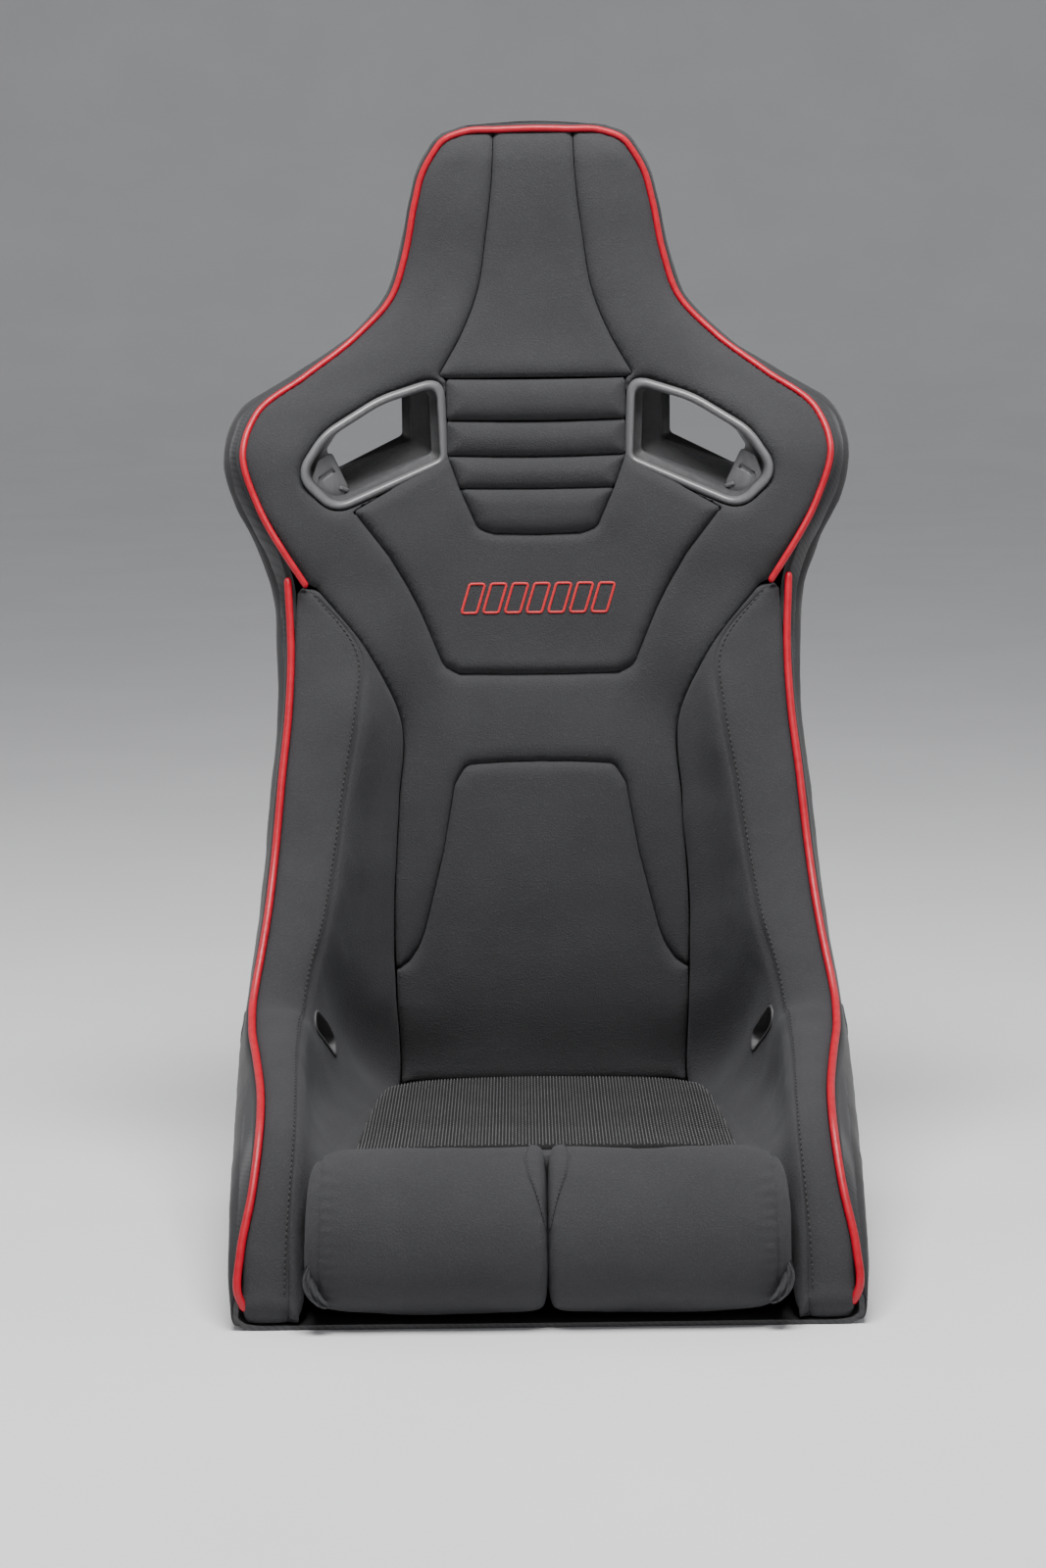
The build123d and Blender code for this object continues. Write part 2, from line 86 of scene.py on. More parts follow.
# ---- materials ------------------------------------------------------------------------------
class Mat:
    """A Principled material with a few helpers for procedural detail in object space."""

    def __init__(self, name, color, rough, **sockets):
        self.material = bpy.data.materials.new(name)
        self.material.use_nodes = True
        self.tree = self.material.node_tree
        self.shader = self.tree.nodes["Principled BSDF"]
        self.shader.inputs["Base Color"].default_value = (*color, 1)
        self.shader.inputs["Roughness"].default_value = rough
        for key, value in sockets.items():
            self.shader.inputs[key.replace("_", " ")].default_value = value
        self.coords = self.tree.nodes.new("ShaderNodeTexCoord").outputs["Object"]

    def node(self, kind, links=(), **values):
        made = self.tree.nodes.new(kind)
        for key, value in values.items():
            if key in made.inputs:
                made.inputs[key].default_value = value
            else:
                setattr(made, key, value)
        for key, source in dict(links).items():
            self.tree.links.new(source, made.inputs[key])
        return made

    def noise(self, scale, detail=3.0, rough=0.5, stretch=(1, 1, 1)):
        mapped = self.node("ShaderNodeMapping", {"Vector": self.coords}, Scale=stretch).outputs["Vector"]
        made = self.node("ShaderNodeTexNoise", {"Vector": mapped}, Scale=scale, Detail=detail, Roughness=rough)
        return made.outputs["Fac"]

    def voronoi(self, scale):
        return self.node("ShaderNodeTexVoronoi", {"Vector": self.coords}, Scale=scale).outputs["Distance"]

    def wave(self, scale, axis, distortion=0.0):
        values = {"bands_direction": axis, "Scale": scale, "Distortion": distortion}
        return self.node("ShaderNodeTexWave", {"Vector": self.coords}, **values).outputs["Fac"]

    def maths(self, operation, a, b):
        made = self.node("ShaderNodeMath", operation=operation)
        for socket, value in zip(made.inputs, (a, b)):
            if isinstance(value, (int, float)):
                socket.default_value = value
            else:
                self.tree.links.new(value, socket)
        return made.outputs[0]

    def blend(self, a, share_a, b, share_b):
        return self.maths("ADD", self.maths("MULTIPLY", a, share_a), self.maths("MULTIPLY", b, share_b))

    def ramp(self, value, low, high, places):
        """Two tones, each a colour or a grey level, placed along a value from 0 to 1."""
        made = self.node("ShaderNodeValToRGB", {"Fac": value})
        for element, place, tone in zip(made.color_ramp.elements, places, (low, high)):
            element.position = place
            element.color = (*(tone if isinstance(tone, tuple) else (tone,) * 3), 1)
        return made.outputs["Color"]

    def color(self, value, low, high, places=(0.3, 0.75)):
        self.tree.links.new(self.ramp(value, low, high, places), self.shader.inputs["Base Color"])

    def rough(self, value, low, high, places=(0.3, 0.8)):
        self.tree.links.new(self.ramp(value, low, high, places), self.shader.inputs["Roughness"])

    def bump(self, *layers):
        """Each layer is (height, strength, distance in metres)."""
        normal = None
        for height, strength, distance in layers:
            links = {"Height": height}
            if normal is not None:
                links["Normal"] = normal
            normal = self.node("ShaderNodeBump", links, Strength=strength, Distance=distance).outputs["Normal"]
        self.tree.links.new(normal, self.shader.inputs["Normal"])


CHARCOAL = (0.034, 0.034, 0.036)
WEAVE, SPREAD = 620.0, 0.3

mat = Mat("charcoal_fabric", CHARCOAL, 0.88, Sheen_Weight=0.12, Sheen_Roughness=0.45, Specular_IOR_Level=0.22)
mat.shader.inputs["Sheen Tint"].default_value = (0.55, 0.56, 0.6, 1)
threads = mat.maths("ADD", mat.wave(WEAVE, "X", 1.2), mat.wave(WEAVE, "Z", 1.2))
cells = mat.voronoi(WEAVE * 1.1)
fuzz = mat.noise(420.0, 2.0, 0.7)
grain = mat.blend(cells, 0.55, fuzz, 0.6)
mat.color(mat.blend(mat.noise(9.0, 4.0, 0.6), 0.5, grain, 0.6), tuple(c * (1 - SPREAD) for c in CHARCOAL),
          tuple(c * (1 + SPREAD) for c in CHARCOAL), (0.25, 0.8))
mat.rough(fuzz, 0.8, 0.97, (0.2, 0.8))
mat.bump((threads, 0.35, 0.0004), (cells, 0.5, 0.0007), (mat.noise(60.0, 3.0), 0.16, 0.0018))
fabric = mat.material

mat = Mat("wrap_fabric", (0.03, 0.03, 0.032), 0.88, Sheen_Weight=0.1, Sheen_Roughness=0.4, Specular_IOR_Level=0.2)
crease_relief_and_shade = mat.noise(26.0, 3.0, 0.55, (1, 1, 0.35))
cells = mat.voronoi(820.0)
# the colour darkens with the crease relief: painted shade in the crease hollows; the fine cells give the fabric's
# own tone
mat.color(mat.blend(crease_relief_and_shade, 0.6, cells, 0.5), (0.025, 0.025, 0.026), (0.037, 0.037, 0.039), (0.25, 0.8))
mat.bump((cells, 0.35, 0.0005), (crease_relief_and_shade, 0.3, 0.003))
wrap_fabric = mat.material

mat = Mat("grip_mesh_ground", (0.009, 0.009, 0.01), 0.9, Sheen_Weight=0.1, Specular_IOR_Level=0.15)
mat.color(mat.noise(700.0, 2.0), (0.002, 0.002, 0.0022), (0.005, 0.005, 0.0053))
mat.bump((mat.voronoi(900.0), 0.6, 0.0006))
grip_ground = mat.material

mat = Mat("grip_dots", (0.1, 0.1, 0.103), 0.55, Specular_IOR_Level=0.35)
mat.color(mat.noise(160.0, 2.0), (0.07, 0.07, 0.072), (0.11, 0.11, 0.113))
mat.bump((mat.noise(900.0, 2.0), 0.3, 0.0003))
grip_dots = mat.material

mat = Mat("red_piping", (0.42, 0.001, 0.014), 0.42, Specular_IOR_Level=0.4)
mat.color(mat.noise(120.0, 3.0), (0.36, 0.0008, 0.012), (0.48, 0.001, 0.017))
mat.rough(mat.noise(300.0, 2.0), 0.32, 0.5, (0.3, 0.75))
mat.bump((mat.voronoi(1500.0), 0.25, 0.0003), (mat.noise(45.0), 0.15, 0.001))
piping_red = mat.material

mat = Mat("red_thread", (0.55, 0.004, 0.01), 0.5, Sheen_Weight=0.15)
mat.color(mat.noise(900.0, 2.0), (0.45, 0.003, 0.008), (0.65, 0.006, 0.014))
mat.bump((mat.noise(2200.0, 2.0), 0.5, 0.0002))
red_thread = mat.material

mat = Mat("black_thread", (0.01, 0.01, 0.0105), 0.6, Sheen_Weight=0.1)
mat.color(mat.noise(900.0, 2.0), (0.006, 0.006, 0.0063), (0.016, 0.016, 0.0168))
mat.bump((mat.noise(2200.0, 2.0), 0.5, 0.0002))
black_thread = mat.material

mat = Mat("satin_grey_plastic", (0.12, 0.12, 0.124), 0.3, Specular_IOR_Level=0.6)
scuffs = mat.noise(240.0, 4.0, 0.65, (1, 1, 0.3))
mat.color(scuffs, (0.11, 0.11, 0.113), (0.135, 0.135, 0.139), (0.3, 0.78))
mat.rough(scuffs, 0.28, 0.44, (0.25, 0.8))
mat.bump((mat.voronoi(1300.0), 0.12, 0.0002))
bezel_plastic = mat.material

mat = Mat("dark_moulded_plastic", (0.06, 0.06, 0.062), 0.5, Specular_IOR_Level=0.4)
mat.color(mat.noise(180.0, 4.0), (0.052, 0.052, 0.054), (0.07, 0.07, 0.072))
mat.rough(mat.noise(260.0, 3.0), 0.42, 0.6, (0.25, 0.8))
mat.bump((mat.voronoi(1000.0), 0.3, 0.0003))
tunnel_plastic = mat.material

mat = Mat("shell_laminate", (0.02, 0.02, 0.021), 0.42, Coat_Weight=0.2, Coat_Roughness=0.3)
tow = mat.maths("ADD", mat.wave(95.0, "DIAGONAL"), mat.noise(30.0, 4.0))
mat.color(tow, (0.014, 0.014, 0.015), (0.03, 0.03, 0.032), (0.4, 1.0))
mat.rough(mat.noise(14.0, 5.0, 0.6), 0.38, 0.52)
mat.bump((mat.noise(70.0, 3.0, 0.5), 0.1, 0.0006))
shell_laminate = mat.material

mat = Mat("zinc_steel", (0.5, 0.5, 0.52), 0.32, Metallic=1.0)
mat.color(mat.noise(60.0, 4.0, 0.6), (0.38, 0.38, 0.4), (0.6, 0.6, 0.62), (0.3, 0.8))
mat.rough(mat.noise(220.0, 3.0, 0.5, (1, 1, 0.1)), 0.24, 0.45)
mat.bump((mat.noise(500.0, 2.0), 0.1, 0.0002))
zinc_steel = mat.material

mat = Mat("hook_loop_tape", (0.014, 0.014, 0.015), 0.95, Sheen_Weight=0.25)
mat.color(mat.noise(600.0, 2.0), 0.009, 0.022)
mat.bump((mat.voronoi(650.0), 0.8, 0.001))
hook_loop = mat.material

mat = Mat("black_steel", (0.03, 0.03, 0.031), 0.45, Metallic=0.6)
mat.color(mat.noise(90.0, 4.0, 0.6), (0.022, 0.022, 0.023), (0.045, 0.045, 0.046), (0.3, 0.8))
mat.rough(mat.noise(260.0, 3.0), 0.38, 0.55)
mat.bump((mat.noise(600.0, 2.0), 0.12, 0.0002))
black_steel = mat.material

mat = Mat("pale_floor", (0.74, 0.74, 0.75), 0.55, Specular_IOR_Level=0.3)
mat.color(mat.noise(3.0, 3.0), (0.72, 0.72, 0.73), (0.76, 0.76, 0.77))
pale_floor = mat.material


# ---- mesh helpers ---------------------------------------------------------------------------
def add_object(name, verts, faces, material):
    mesh = bpy.data.meshes.new(name)
    mesh.from_pydata([tuple(map(float, v)) for v in verts], [], [tuple(map(int, f)) for f in faces])
    mesh.validate()
    bm = bmesh.new()
    bm.from_mesh(mesh)
    bmesh.ops.remove_doubles(bm, verts=bm.verts, dist=1e-6)
    loose = [v for v in bm.verts if not v.link_faces]
    bmesh.ops.delete(bm, geom=loose, context="VERTS")
    bmesh.ops.recalc_face_normals(bm, faces=bm.faces)
    bm.to_mesh(mesh)
    bm.free()
    mesh.polygons.foreach_set("use_smooth", [True] * len(mesh.polygons))
    mesh.materials.append(material)
    obj = bpy.data.objects.new(name, mesh)
    bpy.context.scene.collection.objects.link(obj)
    return obj


def fit(obj, body, replaced=()):
    """Attaches a piece to its body and hides the CAD nodes it stands for."""
    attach(obj, body)
    if replaced:
        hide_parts(*replaced)


def apply_modifiers(obj):
    mesh = bpy.data.meshes.new_from_object(obj.evaluated_get(bpy.context.evaluated_depsgraph_get()))
    obj.modifiers.clear()
    old = obj.data
    obj.data = mesh
    bpy.data.meshes.remove(old)


def hermite(knots, values, at):
    """Smooth interpolation of rows of values through unevenly spaced knots."""
    knots, values, at = np.asarray(knots, float), np.asarray(values, float), np.asarray(at, float)
    step = np.diff(knots)
    slope = np.diff(values, axis=0) / step[:, None]
    tangent = np.empty_like(values)
    tangent[0], tangent[-1] = slope[0], slope[-1]
    mix = (step[1:] / (step[1:] + step[:-1]))[:, None]
    tangent[1:-1] = slope[:-1] * mix + slope[1:] * (1 - mix)
    i = np.clip(np.searchsorted(knots, at, side="right") - 1, 0, len(knots) - 2)
    t = ((at - knots[i]) / step[i])[:, None]
    h = step[i][:, None]
    a, b = values[i], values[i + 1]
    return ((2 * t**3 - 3 * t**2 + 1) * a + (t**3 - 2 * t**2 + t) * h * tangent[i]
            + (3 * t**2 - 2 * t**3) * b + (t**3 - t**2) * h * tangent[i + 1])


def smooth_path(points, spacing):
    """Points at an even spacing along a smooth curve through the given ones."""
    points = np.asarray(points, float)
    reach = np.concatenate([[0], np.cumsum(np.linalg.norm(np.diff(points, axis=0), axis=1))])
    fine = hermite(reach, points, np.linspace(0, reach[-1], max(int(reach[-1] / spacing * 4), 8)))
    run = np.concatenate([[0], np.cumsum(np.linalg.norm(np.diff(fine, axis=0), axis=1))])
    even = np.linspace(0, run[-1], max(int(round(run[-1] / spacing)) + 1, 2))
    return np.stack([np.interp(even, run, fine[:, k]) for k in range(points.shape[1])], 1)


def unit(v):
    return v / np.maximum(np.linalg.norm(v, axis=-1, keepdims=True), 1e-12)


def tube(path, radius, sides=12, up=(0, -1, 0.3), closed=False, flat=1.0):
    """Vertices and faces of a round tube that follows a path. Its ends are domed."""
    path = np.asarray(path, float)
    if closed:
        tangent = unit(np.roll(path, -1, 0) - np.roll(path, 1, 0))
    else:
        tangent = unit(np.gradient(path, axis=0))
    side = unit(np.cross(tangent, np.asarray(up, float)))
    lift = np.cross(side, tangent)
    radius = np.broadcast_to(np.asarray(radius, float), (len(path),))
    angle = np.linspace(0, 2 * np.pi, sides, endpoint=False)
    ring = np.cos(angle)[None, :, None] * side[:, None] + flat * np.sin(angle)[None, :, None] * lift[:, None]
    verts = path[:, None] + radius[:, None, None] * ring
    n = len(path)
    faces = []
    for i in range(n if closed else n - 1):
        j = (i + 1) % n
        for k in range(sides):
            m = (k + 1) % sides
            faces.append((i * sides + k, i * sides + m, j * sides + m, j * sides + k))
    verts = verts.reshape(-1, 3)
    if not closed:
        extra = []
        for end, sign in ((0, -1), (n - 1, 1)):
            centre = path[end]
            inner = []
            for share, out in ((0.75, 0.66), (0.4, 0.92)):
                base = len(verts) + len(extra)
                for k in range(sides):
                    spoke = verts[end * sides + k] - centre
                    extra.append(centre + spoke * share + sign * tangent[end] * radius[end] * out)
                inner.append(base)
            tip = len(verts) + len(extra)
            extra.append(centre + sign * tangent[end] * radius[end])
            loops = [end * sides] + inner
            for a, b in zip(loops, loops[1:]):
                for k in range(sides):
                    faces.append((a + k, a + (k + 1) % sides, b + (k + 1) % sides, b + k))
            for k in range(sides):
                faces.append((loops[-1] + k, loops[-1] + (k + 1) % sides, tip))
        verts = np.vstack([verts, extra])
    return verts, faces


def joined(parts):
    verts, faces, base = [], [], 0
    for v, f in parts:
        verts.append(np.asarray(v, float))
        faces += [tuple(i + base for i in face) for face in f]
        base += len(v)
    return np.vstack(verts), faces


def grid_faces(rows, cols, base=0, flip=False):
    faces = []
    for i in range(rows - 1):
        for j in range(cols - 1):
            a, b = base + i * cols + j, base + (i + 1) * cols + j
            faces.append((b, b + 1, a + 1, a) if flip else (a, a + 1, b + 1, b))
    return faces


def grid_normals(grid):
    normal = np.cross(np.gradient(grid, axis=1), np.gradient(grid, axis=0))
    return unit(normal)


def closed_grid(front, back):
    """A closed form from two grids of the same size, joined round their edges."""
    rows, cols = front.shape[:2]
    base = rows * cols
    faces = grid_faces(rows, cols) + grid_faces(rows, cols, base, True)
    border = ([(0, j) for j in range(cols)] + [(i, cols - 1) for i in range(1, rows)]
              + [(rows - 1, j) for j in range(cols - 2, -1, -1)] + [(i, 0) for i in range(rows - 2, 0, -1)])
    loop = [i * cols + j for i, j in border]
    for a, b in zip(loop, loop[1:] + loop[:1]):
        faces.append((b, a, a + base, b + base))
    return np.vstack([front.reshape(-1, 3), back.reshape(-1, 3)]), faces


def loft_loops(loops):
    """Faces between loops with the same count of points."""
    n = len(loops[0])
    faces = []
    for i in range(len(loops) - 1):
        for k in range(n):
            m = (k + 1) % n
            faces.append((i * n + k, i * n + m, (i + 1) * n + m, (i + 1) * n + k))
    return np.vstack(loops), faces


def capped(loops):
    """A closed form: loops with the same count of points, and a fan over each end."""
    verts, faces = loft_loops(loops)
    n = len(loops[0])
    for base, loop in ((0, loops[0]), (len(verts) - n, loops[-1])):
        faces += [(base + k, base + (k + 1) % n, len(verts)) for k in range(n)]
        verts = np.vstack([verts, np.mean(loop, axis=0)])
    return verts, faces


def thickened(front, back, faces):
    """A closed form from a sheet of faces with two sets of points, joined along its open edges."""
    n = len(front)
    edges = {(a, b) for f in faces for a, b in zip(f, f[1:] + f[:1])}
    closed = list(faces) + [tuple(i + n for i in f[::-1]) for f in faces]
    closed += [(b, a, a + n, b + n) for a, b in edges if (b, a) not in edges]
    return np.vstack([front, back]), closed


def ripple(points, size, amount, seed=0.0):
    """Smooth unevenness, one value for each point, for points in metres and bumps of about `size`."""
    shift = np.array((seed, 3.7 * seed, -seed))
    values = [noise.noise(Vector(p / size + shift)) for p in np.asarray(points, float).reshape(-1, 3)]
    return np.array(values).reshape(np.asarray(points).shape[:-1]) * amount


# ---- the seat's stations --------------------------------------------------------------------
# Each row is a plane across the seat, in mm: spine (forward, up), rim (forward, up), half-width, half-width
# at the edge, corner (across, high), height of the pad at the centre, then seam, face and stitch line as
# (across, high).
THIGH = [
    (246, 0, 243, 34, 254, 252, 25, 10, 9, 201, 10, 203, 16, 209, 28),
    (232, 0, 236, 64, 256, 250.5, 25, 22, 9, 199.5, 14, 201, 34, 208, 60),
    (205, 0, 213, 107, 258, 242, 28, 30, 9, 196, 44, 200, 68, 206, 104),
    (165, 0, 173, 148, 259, 237.5, 30, 34, 9, 171, 106, 191, 119, 204, 145),
    (110, 0, 126, 169, 260, 239, 34, 40, 9, 166, 108, 190, 127, 205, 168),
    (40, 0, 65, 189, 262, 246.5, 40, 50, 9, 161, 105, 190, 127, 207, 188),
    (-40, 0, 28, 202, 264, 252, 45, 52, 9, 158, 108, 187, 132, 207, 208),
    (-78, 0, 12, 209, 264.5, 253, 46, 52, 9, 155, 110, 183, 138, 206.5, 222),
    (-128, 0.4, -4, 217, 265, 253.5, 47, 52, 9, 150, 111, 176, 142, 206, 234),
    (-171, 14, -22, 230, 263, 252, 49, 54, 12, 144, 99, 168, 133, 204, 246),
]
BACK = [
    (-205, 62, -42, 250, 260, 248.5, 55, 60, 41, 130, 47, 163, 92, 199, 236),
    (-226, 130, -67, 281, 254, 243.5, 60, 64, 70, 131, 70, 162, 112, 189, 207),
    (-240, 215, -100, 325, 247.5, 238.5, 64, 64, 73, 132, 73, 158, 104, 181, 165),
    (-254, 320, -134, 397, 240.5, 232, 65, 62, 69, 127, 70, 150, 92, 170, 130),
    (-264, 410, -156, 450, 234, 226.5, 66, 60, 58, 124, 61, 141, 80, 160, 106),
    (-274, 480, -174, 500, 234.5, 224.5, 64, 55, 51, 153, 82, 156, 84, 159, 87),
    (-284, 545, -192, 555, 239, 222, 60, 50, 52, 199, 90, 202, 91, 205, 92),
]
SHOULDER = [
    (-284, 545, -192, 555, 239, 222, 60, 50, 52, 100, 60, 140, 74, 175, 86),
    (-292, 588, -190, 590, 252, 232, 62, 50, 54, 100, 64, 140, 78, 178, 92),
    (-302, 630, -196, 632, 273, 255, 66, 52, 60, 90, 64, 140, 80, 190, 100),
    (-311, 672, -206, 674, 281, 267, 66, 52, 61, 84, 61, 140, 82, 205, 106),
    (-318, 707, -227, 708, 270, 256, 64, 48, 64, 86, 65, 130, 79, 190, 95),
    (-326, 742, -253, 742, 219, 211, 50, 40, 66, 88, 66, 125, 72, 165, 76),
    (-333, 776, -280, 776, 168, 166, 34, 30, 63, 67, 65, 95, 67, 130, 65),
    (-338, 811, -292, 811, 136, 134, 30, 28, 61, 53, 62, 80, 62, 108, 57),
    (-342, 850, -297, 850, 122.5, 121, 28, 26, 59, 47, 60, 72, 59, 98, 53),
    (-345, 895, -300, 895, 113, 112, 28, 26, 59, 40, 59, 65, 58, 90, 52),
    (-344, 925, -301, 922, 106, 104.5, 26, 24, 56, 37, 56, 60, 54, 83, 49),
    (-338, 948, -301, 940, 95, 94, 24, 20, 48, 35, 48, 54, 46, 74, 43),
    (-330, 957, -301, 948, 88, 87.8, 22, 15, 37, 32, 37, 50, 35, 68, 32),
    (-313, 965, -301, 957, 66, 65.5, 14, 5, 12, 15, 12, 25, 12, 35, 11),
]
F0, Z0, F1, Z1, WIDE, EDGE, CORNER_X, CORNER_H, MID = range(9)
SEAM, FACE, STITCH = slice(9, 11), slice(11, 13), slice(13, 15)


def stations_between(rows, spacing):
    """The station rows, filled in smoothly so that they are `spacing` mm apart at the rim."""
    rows = np.asarray(rows, float)
    rim = np.stack([rows[:, EDGE], rows[:, F1], rows[:, Z1]], 1)
    reach = np.concatenate([[0], np.cumsum(np.linalg.norm(np.diff(rim, axis=0), axis=1))])
    return hermite(reach, rows, np.linspace(0, reach[-1], int(reach[-1] / spacing) + 2))


def spot(row, across, high):
    """Metres in the seat's frame for a point (across, high) in a station's plane."""
    length = math.hypot(row[F1] - row[F0], row[Z1] - row[Z0])
    share = high / length
    forward = row[F0] + (row[F1] - row[F0]) * share
    up = row[Z0] + (row[Z1] - row[Z0]) * share - 0.6
    return np.array((across, -forward, up)) * MM


def rim_height(row):
    return math.hypot(row[F1] - row[F0], row[Z1] - row[Z0])


def profile_row(row, points, count):
    """Evenly spaced points along a smooth profile, as (across, high)."""
    points = np.asarray(points, float)
    reach = np.concatenate([[0], np.cumsum(np.linalg.norm(np.diff(points, axis=0), axis=1) + 1e-6)])
    fine = hermite(reach, points, np.linspace(0, reach[-1], count * 4))
    run = np.concatenate([[0], np.cumsum(np.linalg.norm(np.diff(fine, axis=0), axis=1))])
    even = np.linspace(0, run[-1], count)
    return np.stack([np.interp(even, run, fine[:, k]) for k in (0, 1)], 1)


PADS = THIGH[-2:] + BACK[:5] + [BACK[5][:9] + (110, 62, 150, 81, 176, 93)] + SHOULDER


def back_surface():
    """The pads' front as one sheet, used to find how deep a point on the back lies."""
    rows = []
    for row in stations_between(PADS, 5):
        height = rim_height(row)
        points = [(0, row[MID]), (0.55 * row[SEAM][0], row[MID]), row[SEAM], row[FACE], row[STITCH],
                  (row[EDGE] - 8.5, height - 2.5), (row[EDGE] + 6, height - 7)]
        rows.append([spot(row, *p) for p in profile_row(row, points, 52)])
    rows.append(list(np.array(rows[-1]) + np.array((0, 0.002, 0.012))))
    half = np.array(rows)
    flip = half[:, :0:-1] * np.array((-1, 1, 1))
    whole = np.concatenate([flip, half], 1)
    verts = whole.reshape(-1, 3)
    return BVHTree.FromPolygons([Vector(v) for v in verts], grid_faces(*whole.shape[:2]))


surface = back_surface()


def depth_at(points_xz):
    """Y of the back's surface (metres) at each (across, up) in millimetres."""
    found = np.empty(len(points_xz))
    for i, (x, z) in enumerate(points_xz):
        hit = surface.ray_cast(Vector((x * MM, -1.0, z * MM)), Vector((0, 1, 0)))[0]
        if hit is not None:
            found[i] = hit.y
        else:
            found[i] = surface.find_nearest(Vector((x * MM, 0.25, z * MM)))[0].y
    return found


# ---- panels of the back ---------------------------------------------------------------------
def to_outline(p, loops):
    """Signed distance (positive inside) and nearest point for points p to closed outlines, in mm."""
    best = np.full(len(p), 1e9)
    near = np.zeros((len(p), 2))
    inside = np.zeros(len(p), bool)
    for loop in loops:
        a = np.asarray(loop, float)
        b = np.roll(a, -1, 0)
        for (x1, y1), (x2, y2) in zip(a, b):
            dx, dy = x2 - x1, y2 - y1
            size = dx * dx + dy * dy
            if size < 1e-12:
                continue
            t = np.clip(((p[:, 0] - x1) * dx + (p[:, 1] - y1) * dy) / size, 0, 1)
            qx, qy = x1 + t * dx, y1 + t * dy
            d = np.hypot(p[:, 0] - qx, p[:, 1] - qy)
            closer = d < best
            best[closer] = d[closer]
            near[closer, 0], near[closer, 1] = qx[closer], qy[closer]
            cross = ((y1 > p[:, 1]) != (y2 > p[:, 1]))
            if y2 != y1:
                cross &= p[:, 0] < (x2 - x1) * (p[:, 1] - y1) / (y2 - y1) + x1
            inside ^= cross
    return np.where(inside, best, -best), near


def lattice(loops, pitch):
    """Mostly square cells that fill the outlines: points, faces, and each point's distance from the edge (mm)."""
    every = np.vstack([np.asarray(l, float) for l in loops])
    reach = math.ceil(np.abs(every[:, 0]).max() / pitch) + 1
    xs = np.arange(-reach, reach + 1) * pitch
    xs = xs[(xs > every[:, 0].min() - 2 * pitch) & (xs < every[:, 0].max() + 2 * pitch)]
    zs = np.arange(every[:, 1].min() - 1.5 * pitch, every[:, 1].max() + 2 * pitch, pitch)
    p = np.stack(np.meshgrid(xs, zs, indexing="ij"), -1).reshape(-1, 2)
    d, near = to_outline(p, loops)
    snap = np.abs(d) <= 0.5 * pitch
    p[snap] = near[snap]
    keep = (d > 0) | snap
    cols = len(zs)
    faces = []
    for i in range(len(xs) - 1):
        for j in range(cols - 1):
            cell = [i * cols + j, (i + 1) * cols + j, (i + 1) * cols + j + 1, i * cols + j + 1]
            held = [c for c in cell if keep[c]]
            if len(held) >= 3 and any(d[c] > 0 or snap[c] for c in held):
                faces.append(tuple(held))
    centre = np.array([p[list(f)].mean(0) for f in faces])
    dc, _ = to_outline(centre, loops)
    faces = [f for f, c in zip(faces, dc) if c > 0.08 * pitch]
    used = sorted({i for f in faces for i in f})
    new = {old: k for k, old in enumerate(used)}
    faces = [tuple(new[i] for i in f) for f in faces]
    p, fixed = p[used], snap[used]
    links = [set() for _ in used]
    for f in faces:
        for a, b in zip(f, f[1:] + f[:1]):
            links[a].add(b)
            links[b].add(a)
    ends = np.array([(a, b) for a in range(len(used)) for b in links[a]])
    count = np.bincount(ends[:, 0], minlength=len(used))[:, None]
    for _ in range(3):
        total = np.zeros_like(p)
        np.add.at(total, ends[:, 0], p[ends[:, 1]])
        p = np.where(fixed[:, None], p, 0.5 * p + 0.5 * total / np.maximum(count, 1))
    d, _ = to_outline(p, loops)
    return p, faces, np.where(fixed, 0.0, np.maximum(d, 0.0))


def puff(d, crown, width, tuck):
    """How far a stuffed panel stands proud, at distance d from its seam (mm)."""
    t = np.clip(d / width, 0, 1)
    return -tuck + (tuck + crown) * np.sqrt(np.maximum(1 - (1 - t) ** 2, 0)) ** 1.15


def back_panel(name, loops, crown, width, tuck, replaced, pitch=3.0, wrinkle=0.35):
    """A stuffed cover on the seat's back. It fills the outlines, and is drawn in along their edges."""
    p, faces, d = lattice(loops, pitch)
    y = depth_at(p)
    slope_x = (depth_at(p + (2, 0)) - depth_at(p - (2, 0))) / 0.004
    slope_z = (depth_at(p + (0, 2)) - depth_at(p - (0, 2))) / 0.004
    normal = unit(np.stack([slope_x, -np.ones(len(p)), slope_z], 1))
    flat = np.stack([p[:, 0] * MM, y, p[:, 1] * MM], 1)
    uneven = ripple(flat, 0.035, wrinkle) + ripple(flat, 0.012, wrinkle * 0.35)
    lift = puff(d, crown, width, tuck) + uneven * np.clip(d / 8, 0, 1)
    front = flat + normal * lift[:, None] * MM
    back = flat + np.array((0, COVER * MM, 0))
    back[:, 1] = np.maximum(back[:, 1], front[:, 1] + 0.003)
    obj = add_object(name, *thickened(front, back, faces), fabric)
    fit(obj, SEAT, replaced)


def mirrored(half):
    """A whole closed outline from its right half, listed from the top centre to the bottom centre."""
    half = [tuple(map(float, p)) for p in half]
    return half + [(-x, z) for x, z in reversed(half) if abs(x) > 1e-6]


